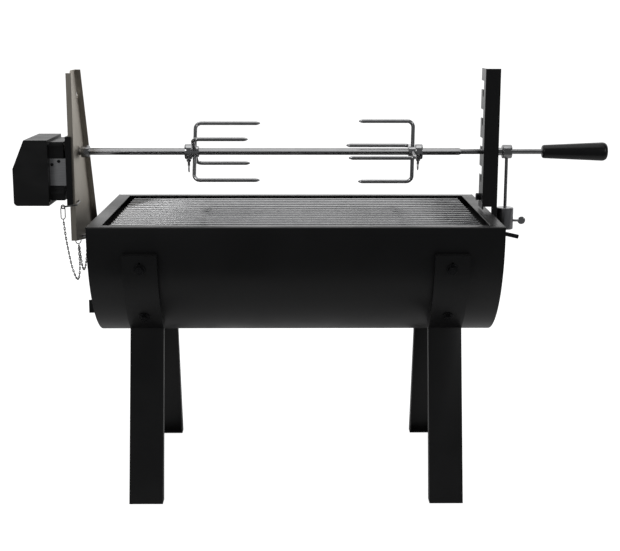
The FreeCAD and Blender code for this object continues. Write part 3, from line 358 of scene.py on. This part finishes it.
class Surface:
    """Grids of points gathered into one mesh."""

    def __init__(self):
        self.points = []
        self.faces = []
        self.count = 0

    def grid(self, points, loop=False, caps=True):
        """Join rings of points, an array (rings, round, 3), with four-sided faces. A loop joins the
        last ring to the first, and otherwise caps close both ends."""
        rings, around = points.shape[:2]
        index = np.arange(rings * around).reshape(rings, around) + self.count
        here = index if loop else index[:-1]
        there = np.roll(index, -1, 0) if loop else index[1:]
        faces = np.stack([here, np.roll(here, -1, 1), np.roll(there, -1, 1), there], -1)
        self.faces += faces.reshape(-1, 4).tolist()
        if caps and not loop:
            self.faces += [index[0, ::-1].tolist(), index[-1].tolist()]
        self.points.append(points.reshape(-1, 3))
        self.count += rings * around
        return self

    def tube(self, path, radius, normal, sides=16):
        """A round tube along a path: p + r (cos a side + sin a up), with up held near a normal."""
        path = np.asarray(path, float)
        along = unit(np.gradient(path, axis=0))
        side = unit(np.cross(along, np.asarray(normal, float)))
        up = unit(np.cross(side, along))
        angle = np.linspace(0, 2 * math.pi, sides, endpoint=False)[None, :, None]
        radius = np.broadcast_to(np.asarray(radius, float), (len(path),))[:, None, None]
        ring = np.cos(angle) * side[:, None] + np.sin(angle) * up[:, None]
        return self.grid(path[:, None] + radius * ring)

    def turned(self, profile, origin, axis, sides=40, flat=0.0, corner=0.0):
        """A profile of (distance along, radius) turned about an axis. A profile row may have a third
        number, the share of a square bar of that flat in its outline: the square's radius at angle
        a is flat / (sqrt 2 (|cos a| + |sin a|)), cut off at the rounded corner."""
        profile = np.asarray([tuple(row) + (0.0,) * (3 - len(row)) for row in profile], float)
        axis = unit(axis)
        first = unit(np.cross(axis, (0, 0, 1) if abs(axis[2]) < 0.9 else (0, 1, 0)))
        second = np.cross(axis, first)
        angle = np.linspace(0, 2 * math.pi, sides, endpoint=False)
        square = flat / math.sqrt(2) / (np.abs(np.cos(angle)) + np.abs(np.sin(angle)))
        square = np.minimum(square, corner)[None]
        radius = profile[:, 1:2] * (1 - profile[:, 2:3]) + square * profile[:, 2:3]
        ring = np.cos(angle)[:, None] * first + np.sin(angle)[:, None] * second
        points = np.asarray(origin, float) + profile[:, 0, None, None] * axis + radius[..., None] * ring
        return self.grid(points, caps=not np.allclose(profile[0], profile[-1]))

    def made(self, name, finish, slot, sharp=38.0):
        """Make the object: merge doubles, point the faces outwards, and mark its sharp edges."""
        mesh = bpy.data.meshes.new(name)
        mesh.from_pydata(np.concatenate(self.points).tolist(), [], self.faces)
        thing = bpy.data.objects.new(name, mesh)
        bpy.context.scene.collection.objects.link(thing)
        clean(mesh, sharp)
        return dress(thing, finish)


def clean(mesh, sharp, flat=0.0):
    """Merge doubled points, join coplanar faces, turn all faces outwards and shade smoothly."""
    work = bmesh.new()
    work.from_mesh(mesh)
    bmesh.ops.remove_doubles(work, verts=work.verts, dist=2e-6)
    bmesh.ops.dissolve_degenerate(work, edges=work.edges, dist=1e-6)
    if flat:
        bmesh.ops.dissolve_limit(work, angle_limit=math.radians(flat), verts=work.verts, edges=work.edges)
    bmesh.ops.recalc_face_normals(work, faces=work.faces)
    work.to_mesh(mesh)
    work.free()
    mesh.shade_smooth()
    mesh.set_sharp_from_angle(angle=math.radians(sharp))
    mesh.update()


def eased(node, finish, edge, sharp=32.0):
    """A copy of a folded, cast or moulded node with its edges rounded over."""
    source = frame["nodes"][node]
    mesh = source.data.copy()
    mesh.name = node + "_eased"
    thing = bpy.data.objects.new(mesh.name, mesh)
    bpy.context.scene.collection.objects.link(thing)
    clean(mesh, sharp, 0.5)
    bevel = thing.modifiers.new("edge", "BEVEL")
    bevel.width = edge
    bevel.segments = 2
    bevel.limit_method = "ANGLE"
    bevel.angle_limit = math.radians(sharp)
    bevel.use_clamp_overlap = True
    bevel.harden_normals = True
    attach(thing, source["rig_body"])
    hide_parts(node)
    return dress(thing, finish)


def riding(thing, body, *nodes):
    """Put a finished piece on its body in the place of its nodes."""
    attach(thing, body)
    if nodes:
        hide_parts(*nodes)
    return thing


# ------------------------------------------------------------------ operators

class Piece(bpy.types.Operator):
    """Base of the operators: each builds its pieces and reports that it finished."""

    bl_options = {"REGISTER"}

    def execute(self, context):
        self.build(context.scene.roaster_sizes)
        return {"FINISHED"}


class ROASTER_OT_barrel(Piece):
    """Rolled skin of the barrel with folded rims, and its two end panels."""

    bl_idname = "roaster.barrel"
    bl_label = "Barrel"

    def build(self, s):
        """The outline is a rim lip, a rounded fold, a half circle (-R cos a, zc - R sin a), and the
        same back again one sheet inside; it is carried straight along the barrel."""
        low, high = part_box("barrel_shell")
        radius, centre = high.y, low.z + high.y
        wall, tip = s.sheet, high.y - s.rim_flange
        angle = np.linspace(0, math.pi, 97)

        def half_round(r):
            return np.stack([-r * np.cos(angle), centre - r * np.sin(angle)], -1)

        def rim(r, top, bend):
            corners = [(-tip, top), (-r, top), (-r, centre)]
            left = rounded(corners, bend)[:-1]
            return left, np.flip(left, 0) * (-1, 1)

        outer, inner = rim(radius, high.z, s.rim_bend), rim(radius - wall, high.z - wall, s.rim_bend - wall)
        outline = np.concatenate([outer[0], half_round(radius), outer[1],
                                  np.flip(inner[1], 0), np.flip(half_round(radius - wall), 0),
                                  np.flip(inner[0], 0)])
        stations = np.linspace(low.x, high.x, 13)
        points = np.empty((len(stations), len(outline), 3))
        points[..., 0] = stations[:, None]
        points[..., 1:] = outline
        skin = Surface().grid(points).made("barrel_skin", "paint", "black_paint")
        riding(skin, "frame", "barrel_shell")
        for node in ("left_end_panel", "right_end_panel"):
            eased(node, "paint", 0.4 * MM)


class ROASTER_OT_legs(Piece):
    """Four folded legs with their bolts and nuts, and the rails that hold the grates."""

    bl_idname = "roaster.legs"
    bl_label = "Legs and rails"

    def build(self, s):
        for end in ("front", "rear"):
            for side in ("left", "right"):
                eased("%s_%s_leg" % (end, side), "leg_paint", 0.95 * MM)
        eased("leg_bolts", "black_zinc", 0.8 * MM)
        eased("leg_nuts", "black_zinc", 0.4 * MM)
        for node in ("left_grate_rail", "right_grate_rail", "left_coal_rail", "right_coal_rail"):
            eased(node, "paint", 0.35 * MM)


def straight_wires(surface, wire, top, places, along, ends):
    """Round wires with rounded ends, side by side: each is a circle carried along its axis whose
    radius follows a quarter circle at both ends."""
    low, high = ends
    turn = np.linspace(0, math.pi / 2, 5)
    nose = wire * 0.55
    profile = [(nose * (1 - math.cos(a)), wire * max(0.02, math.sin(a))) for a in turn]
    profile += [(high - low - x, r) for x, r in reversed(profile)]
    axis = (1, 0, 0) if along == 0 else (0, 1, 0)
    for place in places:
        origin = [low, place, top - wire] if along == 0 else [place, low, top - wire]
        surface.turned(profile, origin, axis, sides=14)
    return surface


def weld_beads(surface, xs, ys, z, radius):
    """A small flattened bead of weld where two wires cross: a turned half ellipse."""
    angle = np.linspace(0, math.pi, 7)
    profile = np.stack([-np.cos(angle) * radius * 0.5, np.maximum(np.sin(angle), 0.02) * radius], -1)
    for x in xs:
        for y in ys:
            surface.turned(profile, (x, y, z), (0, 0, 1), sides=10)


class ROASTER_OT_grates(Piece):
    """The chromed cooking grate with weld beads where its wires cross, and the charcoal grate."""

    bl_idname = "roaster.grates"
    bl_label = "Grates"

    def build(self, s):
        low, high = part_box("cooking_grate")
        wire, rows = s.grate_wire, 16
        ys = np.linspace(low.y + wire, high.y - wire, rows)
        centre = (low.x + high.x) / 2
        bars = centre + np.array([-1, 0, 1]) * s.grate_bar
        grate = Surface()
        straight_wires(grate, wire, high.z, ys, 0, (low.x, high.x))
        straight_wires(grate, wire, high.z - 2 * wire, bars, 1, (low.y, high.y))
        weld_beads(grate, bars, ys, high.z - 2 * wire, wire * 1.05)
        riding(grate.made("cooking_grate_wires", "chrome", "chrome_wire"), "cooking_grate", "cooking_grate")
        low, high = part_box("charcoal_grate")
        wire, rows = s.coal_wire, 24
        xs = np.linspace(low.x + wire, high.x - wire, rows)
        bars = np.array([-1, 0, 1]) * s.coal_bar
        grate = Surface()
        straight_wires(grate, wire, high.z, xs, 1, (low.y, high.y))
        straight_wires(grate, wire, high.z - 2 * wire, bars, 0, (low.x, high.x))
        riding(grate.made("charcoal_grate_wires", "coal", "coal_wire"), "charcoal_grate", "charcoal_grate")


class ROASTER_OT_uprights(Piece):
    """Both uprights with their brackets, lock pins, bolt, anchor and the vent slider."""

    bl_idname = "roaster.uprights"
    bl_label = "Uprights and vent"

    def build(self, s):
        eased("left_upright", "stainless", 0.6 * MM)
        eased("right_upright", "upright_paint", 0.6 * MM)
        eased("left_upright_bracket", "paint", 0.6 * MM)
        eased("right_upright_bracket", "paint", 0.6 * MM)
        eased("left_lock_pin", "zinc", 0.5 * MM)
        eased("right_lock_pin", "black_zinc", 0.6 * MM)
        eased("upright_bolt", "black_zinc", 0.5 * MM)
        eased("anchor_screw", "zinc", 0.3 * MM)
        eased("vent_slider", "upright_paint", 0.5 * MM)
        eased("vent_guides", "upright_paint", 0.3 * MM)


class ROASTER_OT_motor(Piece):
    """The motor's shells, support plate, strap and screws, with the pieces sealed inside."""

    bl_idname = "roaster.motor"
    bl_label = "Motor"

    INSIDE = {"motor_can": "zinc", "idler_pin": "zinc", "battery_contacts": "zinc", "battery": "cell",
              "switch_block": "moulding", "motor_pinion": "brass", "drive_bushes": "brass",
              "idler_gear": "nylon", "drive_socket": "nylon"}

    def build(self, s):
        eased("motor_case", "moulding", 1.4 * MM)
        eased("motor_cover", "moulding", 0.8 * MM)
        eased("battery_door", "moulding", 0.4 * MM)
        eased("switch_slider", "moulding", 0.5 * MM)
        eased("motor_plate", "upright_paint", 0.6 * MM)
        eased("motor_strap", "strap", 0.5 * MM)
        eased("motor_screws", "black_zinc", 0.35 * MM)
        eased("case_screws", "black_zinc", 0.35 * MM)
        for node, finish in self.INSIDE.items():
            dress(frame["nodes"][node], finish)


class ROASTER_OT_spit(Piece):
    """The spit: square rod and round neck, end collar, balance collar and arm, and the grip."""

    bl_idname = "roaster.spit"
    bl_label = "Spit"

    def build(self, s):
        low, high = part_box("spit_rod")
        axis, origin = (1, 0, 0), (low.x, SPIT.y, SPIT.z)
        full, square = high.x - low.x, high.x - low.x - s.square_end
        neck = s.neck_radius
        profile = [(0, neck * 0.9, 0.0), (0.8 * MM, neck, 0.2), (3.2 * MM, neck, 1.0),
                   (square - 2.5 * MM, neck, 1.0), (square, neck, 0.25), (square + 0.8 * MM, neck, 0.0),
                   (full, neck, 0.0)]
        rod = Surface().turned(profile, origin, axis, 64, s.rod_flat, s.rod_corner)
        riding(rod.made("spit_bar", "rod", "chrome", 30.0), "spit", "spit_rod")
        self.collar("rod_collar", 1.1 * MM, 0.0)
        self.collar("balance_collar", 1.5 * MM, 6.4 * MM)
        low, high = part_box("balance_arm")
        thick = 2.5 * MM
        profile = [(0, 1.6 * MM), (0.9 * MM, thick), (high.z - low.z, thick)]
        arm = Surface().turned(profile, (middle("balance_arm").x, SPIT.y, low.z), (0, 0, 1), 24)
        riding(arm.made("balance_rod", "rod", "chrome"), "spit", "balance_arm")
        low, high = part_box("spit_handle")
        long, wide = high.x - low.x, high.z - SPIT.z
        shoulder, start, nose, fall = 10.4 * MM, 3 * MM, 7.4 * MM, 5.6 * MM
        profile = [(0, 4.3 * MM), (0, 8.6 * MM), (0.5 * MM, 9.3 * MM), (1.4 * MM, 10.0 * MM)]
        profile += [(2.8 * MM, shoulder)]
        t = np.linspace(0.05, 1, 12)
        profile += [(start + (long - start - nose) * v, shoulder + (wide - shoulder) * v) for v in t]
        turn = np.linspace(0.15, math.pi / 2, 12)
        profile += [(long - nose * (1 - math.sin(a)), wide - fall * (1 - math.cos(a))) for a in turn]
        profile += [(long, 0.0)]
        grip = Surface().turned(profile, (low.x, SPIT.y, SPIT.z), axis, 72)
        riding(grip.made("grip", "grip", "handle_plastic"), "spit", "spit_handle")

    def collar(self, node, ease, boss):
        """A collar turned with rounded shoulders; a boss stands out at its left end."""
        low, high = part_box(node)
        wide, long = high.z - SPIT.z, high.x - low.x
        inner = 4.05 * MM
        profile = [(0.0, inner)]
        if boss:
            profile += [(0.0, 5.4 * MM), (0.6 * MM, 6.0 * MM), (boss, 6.0 * MM)]
        turn = np.linspace(0, math.pi / 2, 6)
        profile += [(boss + ease * (1 - math.sin(a)), wide - ease * (1 - math.cos(a))) for a in turn[::-1]]
        profile += [(long - ease * (1 - math.sin(a)), wide - ease * (1 - math.cos(a))) for a in turn]
        profile += [(long, inner), (0.0, inner)]
        collar = Surface().turned(profile, (low.x, SPIT.y, SPIT.z), (1, 0, 0), 56)
        riding(collar.made(node + "_turned", "rod", "chrome"), "spit", node)


class ROASTER_OT_forks(Piece):
    """Two forks: a hub and two bent wires with ground points, and their thumb screws."""

    bl_idname = "roaster.forks"
    bl_label = "Forks"

    def build(self, s):
        low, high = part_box("left_fork")
        self.fork("left_fork", low.x, 1, (s.tine_long, s.tine_short), -28.5, s)
        self.thumb_screw("left_fork_screw", low.x + s.screw_seat, 8)
        low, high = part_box("right_fork")
        self.fork("right_fork", high.x, -1, (s.tine_short, s.tine_long), 6, s)
        self.thumb_screw("right_fork_screw", high.x - s.screw_seat, 26)

    def fork(self, node, hub_x, way, long, tilt, s):
        """Each wire is a flat U with round bends, and its ends taper to a point."""
        fork = Surface()
        hub = Vector((hub_x, SPIT.y, SPIT.z))
        flat, square, ease = s.rod_flat + 0.3 * MM, 1.0, 0.9 * MM
        wide, step, neck, full = 11.8 * MM, 11 * MM, 8.6 * MM, 21.7 * MM
        profile = [(0, 0, square), (0, wide - ease), (ease * 0.3, wide - ease * 0.3), (ease, wide),
                   (step - ease, wide), (step - ease * 0.3, wide - ease * 0.3), (step, wide - ease),
                   (step, neck), (full - ease, neck), (full, neck - ease), (full, 0, square), (0, 0, square)]
        fork.turned(profile, hub, (way, 0, 0), 64, flat, s.rod_corner + 0.2 * MM)
        for turn, reach in ((90, long[0]), (0, long[1])):
            angle = math.radians(turn + tilt)
            side = np.array([0, math.cos(angle), math.sin(angle)]) * s.tine_radius
            base, tip = np.array([way * s.tine_back, 0, 0]), np.array([way * reach, 0, 0])
            corners = np.array([side + tip, side + base, -side + base, -side + tip]) + np.array(hub)
            path = rounded(corners, s.tine_bend, 9)
            nose = np.array([1, 0.93, 0.7, 0.35, 0])[:, None] * (way * s.tine_point, 0, 0)
            path = np.concatenate([path[0] + nose[:-1], path, path[-1] + nose[::-1][1:]])
            taper = np.array([0.12, 0.34, 0.6, 0.86])
            straight = np.ones(len(path) - 2 * len(taper))
            radius = s.tine_wire * np.concatenate([taper, straight, taper[::-1]])
            fork.tube(path, radius, np.cross(side, (1, 0, 0)), 16)
        riding(fork.made(node + "_wires", "chrome", "chrome"), node, node)

    def thumb_screw(self, node, x, angle):
        """A screw that hangs at an angle from straight down, with a collar and a flat thumb piece."""
        way = np.array([0, math.sin(math.radians(angle)), -math.cos(math.radians(angle))])
        seat = np.array([x, SPIT.y, SPIT.z])
        screw = Surface()
        wire, wide, near, far, ease = 2.0 * MM, 3.6 * MM, 12.3 * MM, 15.8 * MM, 0.3 * MM
        shank = thread(6.0 * MM, 0.35 * MM, 18)
        shank += [(near, wire), (near, wide - ease), (near + ease, wide), (far - ease, wide),
                  (far, wide - ease), (far, wire), (23 * MM, wire)]
        screw.turned(shank, seat, way, 24)
        thumb_piece(screw, seat + way * 27 * MM, (1, 0, 0), 6.3 * MM, 2.4 * MM)
        riding(screw.made(node + "_turned", "chrome", "chrome"), node, node)


def thread(start, step, count):
    """The profile of a screw's thread: its radius goes out and in from one step to the next."""
    crest, root = 2.0 * MM, 1.82 * MM
    return [(start + step * i, crest if i % 2 else root) for i in range(count)]


def thumb_piece(surface, centre, normal, radius, thick):
    """A pillow-shaped disc: radius R sin(a)^0.35 and half thickness (T/2) cos a, turned."""
    angle = np.linspace(0, math.pi, 13)
    along = -np.cos(angle) * thick / 2
    wide = radius * np.maximum(np.sin(angle), 0.001) ** 0.35
    surface.turned(np.stack([along, wide], -1), centre, normal, 28)


class ROASTER_OT_balance(Piece):
    """The sliding balance weight and its thumb screw."""

    bl_idname = "roaster.balance"
    bl_label = "Balance weight"

    def build(self, s):
        low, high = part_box("balance_weight")
        x = middle("balance_arm").x
        wide, tall, ease, bore = high.x - x, high.z - low.z, 1.1 * MM, 2.56 * MM
        turn = np.linspace(0, math.pi / 2, 6)
        profile = [(0, bore), (0, wide - ease)]
        profile += [(ease * (1 - math.cos(a)), wide - ease * (1 - math.sin(a))) for a in turn[1:]]
        profile += [(tall - ease * (1 - math.cos(a)), wide - ease * (1 - math.sin(a))) for a in turn[::-1]]
        profile += [(tall, bore), (0, bore)]
        weight = Surface().turned(profile, (x, SPIT.y, low.z), (0, 0, 1), 64)
        weight = weight.made("balance_weight_turned", "turned", "weight_steel")
        riding(weight, "balance_weight", "balance_weight")
        height = middle("weight_screw").z
        screw = Surface()
        shank = thread(2.7 * MM, 0.4 * MM, 34) + [(22.2 * MM, 2.0 * MM)]
        screw.turned(shank, (x, SPIT.y, height), (1, 0, 0), 24)
        thumb_piece(screw, (x + 26.5 * MM, SPIT.y, height), (0, 1, 0), 6.2 * MM, 2.4 * MM)
        riding(screw.made("weight_screw_turned", "chrome", "chrome"), "weight_screw", "weight_screw")


# The routes of the two chains, in millimetres from the middle of the barrel along X.
HOOK_ROUTE = [(-351.9, -61.8, 411.3), (-350.6, -60, 392), (-348, -56.5, 368), (-345.2, -51.5, 345),
              (-342.4, -45.5, 328), (-339.8, -38, 316), (-338.2, -29, 312), (-338, -19, 318),
              (-338.6, -9, 331), (-340.4, -2, 346), (-341.8, 1.5, 361)]
PIN_ROUTE = [(-341.4, 6, 361), (-340.6, 11, 343), (-340, 17, 327), (-339.8, 28, 316), (-340, 43, 315),
             (-340.6, 60, 323), (-341.6, 78, 340), (-342.4, 92, 363)]


def smooth_line(route):
    """Read the points of a smooth spline whose control points are the route's."""
    shift = np.array([middle("barrel_shell").x, 0, 0])
    points = np.array(route) * MM + shift
    curve = bpy.data.curves.new("route", "CURVE")
    curve.dimensions = "3D"
    curve.resolution_u = 16
    spline = curve.splines.new("NURBS")
    spline.points.add(len(points) - 1)
    spline.points.foreach_set("co", np.column_stack([points, np.ones(len(points))]).ravel())
    spline.order_u = 3
    spline.use_endpoint_u = True
    holder = bpy.data.objects.new("route", curve)
    mesh = bpy.data.meshes.new_from_object(holder)
    line = np.empty(len(mesh.vertices) * 3)
    mesh.vertices.foreach_get("co", line)
    bpy.data.objects.remove(holder)
    bpy.data.curves.remove(curve)
    bpy.data.meshes.remove(mesh)
    return line.reshape(-1, 3)


class ROASTER_OT_chains(Piece):
    """Both retaining chains link by link, with the wire hook and the rings they hang from."""

    bl_idname = "roaster.chains"
    bl_label = "Chains and hook"

    def build(self, s):
        for node, tight in (("motor_hook", 0.2), ("hook_ring", 0.1), ("anchor_ring", 0.1)):
            eased(node, "chain", tight * MM, sharp=50.0)
        self.chain("hook_chain", HOOK_ROUTE, "motor_hook", s)
        self.chain("pin_chain", PIN_ROUTE, "left_lock_pin", s)

    def chain(self, node, route, far_body, s):
        """Oval links set a pitch apart along the line, each turned a quarter from the last."""
        line = smooth_line(route)
        along = np.concatenate([[0], np.cumsum(np.linalg.norm(np.diff(line, axis=0), axis=1))])
        long = float(along[-1])
        count = int(round(long / s.link_pitch))
        at = (np.arange(count) + 0.5) * long / count
        centre = np.stack([np.interp(at, along, line[:, k]) for k in range(3)], -1)
        heading = unit(np.stack([np.interp(at, along, np.gradient(line[:, k], along)) for k in range(3)], -1))
        side = unit(np.cross(heading, (1.0, 0.3, 0.1)))
        up = np.cross(heading, side)
        odd = (np.arange(count) % 2)[:, None] * 1.0
        across = side * (1 - odd) + up * odd
        out = np.cross(heading, across)
        link = self.link(s)
        frames = np.stack([heading, across, out], 1)
        points = np.einsum("rsk,nkj->nrsj", link, frames) + centre[:, None, None]
        chain = Surface()
        for one in points:
            chain.grid(one, loop=True)
        thing = chain.made(node + "_links", "chain", "chain_steel", 60.0)
        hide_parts(node)
        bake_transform(thing)

    def link(self, s):
        """A ring of wire: a circle carried round an oval (l cos a, w sin a |sin a|^-0.3, 0)."""
        turn = np.linspace(0, 2 * math.pi, 12, endpoint=False)
        half_long = s.link_pitch / 2 + s.link_wire
        half_wide = s.link_width / 2 - s.link_wire
        wide = half_wide * np.sign(np.sin(turn)) * np.abs(np.sin(turn)) ** 0.7
        oval = np.stack([half_long * np.cos(turn), wide, 0 * turn], -1)
        along = unit(np.roll(oval, -1, 0) - np.roll(oval, 1, 0))
        side = np.cross(along, (0, 0, 1.0))
        angle = np.linspace(0, 2 * math.pi, 6, endpoint=False)[None, :, None]
        ring = np.cos(angle) * side[:, None] + np.sin(angle) * np.array([0, 0, 1.0])
        return oval[:, None] + s.link_wire * ring


class ROASTER_OT_stage(Piece):
    """Pale floor that curves up behind, soft studio lights and the camera."""

    bl_idname = "roaster.stage"
    bl_label = "Studio"

    def build(self, s):
        """The floor's profile is flat, then a quarter circle, then upright: (y, z) carried along X.
        It starts in front of the feet, so that the pieces reflect a dark room in front. The pieces
        also see its glow fade towards the ground, while the camera sees it evenly white."""
        front, back, top, bend, half_wide = -0.40, 3.2, 5.0, 1.4, 6.0
        profile = rounded([(front, 0.0), (back, 0.0), (back, top)], bend, 17)
        points = np.empty((len(profile), 2, 3))
        points[..., 0] = (-half_wide, half_wide)
        points[..., 1:] = profile[:, None]
        index = np.arange(len(profile) * 2).reshape(-1, 2)
        faces = np.stack([index[:-1, 0], index[:-1, 1], index[1:, 1], index[1:, 0]], -1)
        mesh = bpy.data.meshes.new("studio_floor")
        mesh.from_pydata(points.reshape(-1, 3).tolist(), [], faces.tolist())
        mesh.shade_smooth()
        floor = bpy.data.objects.new("studio_floor", mesh)
        bpy.context.scene.collection.objects.link(floor)
        pale = Shader("pale_floor")
        height = pale.add("ShaderNodeSeparateXYZ", None, {"Vector": pale.place}, out="Z")
        fade = {"Value": height, "From Min": 0.05, "From Max": 0.9, "To Min": 0.16, "To Max": 1.0}
        share = pale.add("ShaderNodeMapRange", None, fade)
        room = pale.blend(share, (0, 0, 0, 1), (1, 1, 1, 1))
        seen = pale.add("ShaderNodeLightPath", out="Is Camera Ray")
        glow = pale.blend(seen, room, (1, 1, 1, 1))
        mesh.materials.append(pale.set(Base_Color=shade(tints().floor, 0.45), Roughness=0.85,
                                       Emission_Color=glow, Emission_Strength=0.97))
        world = bpy.data.worlds.new("studio")
        bpy.context.scene.world = world
        world.use_nodes = True
        background = world.node_tree.nodes["Background"]
        background.inputs["Color"].default_value = (0.95, 0.97, 1.0, 1.0)
        background.inputs["Strength"].default_value = 0.11
        self.soft_light("overhead", (0.0, -0.1, 2.3), (0, 0, 0.3), 1.7, 9)
        self.soft_light("key", (-1.6, -2.3, 1.7), (0, 0, 0.4), 0.9, 9)
        self.soft_light("fill", (2.0, -1.8, 1.3), (0, 0, 0.4), 0.8, 5)
        self.camera()

    def soft_light(self, name, place, aim, size, power):
        light = bpy.data.lights.new(name, "AREA")
        light.size = size
        light.energy = power
        lamp = bpy.data.objects.new(name, light)
        lamp.location = place
        lamp.rotation_euler = (Vector(aim) - Vector(place)).to_track_quat("-Z", "Y").to_euler()
        bpy.context.scene.collection.objects.link(lamp)

    def camera(self):
        """A level camera that looks down a little, almost square on to the barrel."""
        pitch, yaw, roll = (math.radians(a) for a in (11.48, 0.66, 0.08))
        data = bpy.data.cameras.new("camera")
        data.lens = 72.2
        camera = bpy.data.objects.new("camera", data)
        turn = Matrix.Rotation(-yaw, 4, "Z") @ Matrix.Rotation(math.pi / 2 - pitch, 4, "X")
        turn = turn @ Matrix.Rotation(roll, 4, "Z")
        camera.matrix_world = Matrix.Translation((-0.0270, -1.926, 0.7036)) @ turn
        bpy.context.scene.collection.objects.link(camera)
        bpy.context.scene.camera = camera
        bpy.context.scene.view_settings.view_transform = "Standard"


OPERATORS = (ROASTER_OT_barrel, ROASTER_OT_legs, ROASTER_OT_grates, ROASTER_OT_uprights,
             ROASTER_OT_motor, ROASTER_OT_spit, ROASTER_OT_forks, ROASTER_OT_balance,
             ROASTER_OT_chains, ROASTER_OT_stage)


class ROASTER_PT_panel(bpy.types.Panel):
    """Sidebar panel with the settings and a button for each operator."""

    bl_idname = "ROASTER_PT_panel"
    bl_label = "Spit Roaster"
    bl_space_type = "VIEW_3D"
    bl_region_type = "UI"
    bl_category = "Roaster"

    def draw(self, context):
        for group in (context.scene.roaster_sizes, context.scene.roaster_tints):
            column = self.layout.column()
            for name in group.bl_rna.properties.keys():
                if name not in ("rna_type", "name"):
                    column.prop(group, name)
        for operator in OPERATORS:
            self.layout.operator(operator.bl_idname)


CLASSES = (RoasterSizes, RoasterTints) + OPERATORS + (ROASTER_PT_panel,)


def register():
    for cls in CLASSES:
        bpy.utils.register_class(cls)
    bpy.types.Scene.roaster_sizes = PointerProperty(type=RoasterSizes)
    bpy.types.Scene.roaster_tints = PointerProperty(type=RoasterTints)


def unregister():
    del bpy.types.Scene.roaster_tints
    del bpy.types.Scene.roaster_sizes
    for cls in reversed(CLASSES):
        bpy.utils.unregister_class(cls)


def main():
    register()
    for operator in OPERATORS:
        group, name = operator.bl_idname.split(".")
        getattr(getattr(bpy.ops, group), name)()


if __name__ == "__main__":
    main()
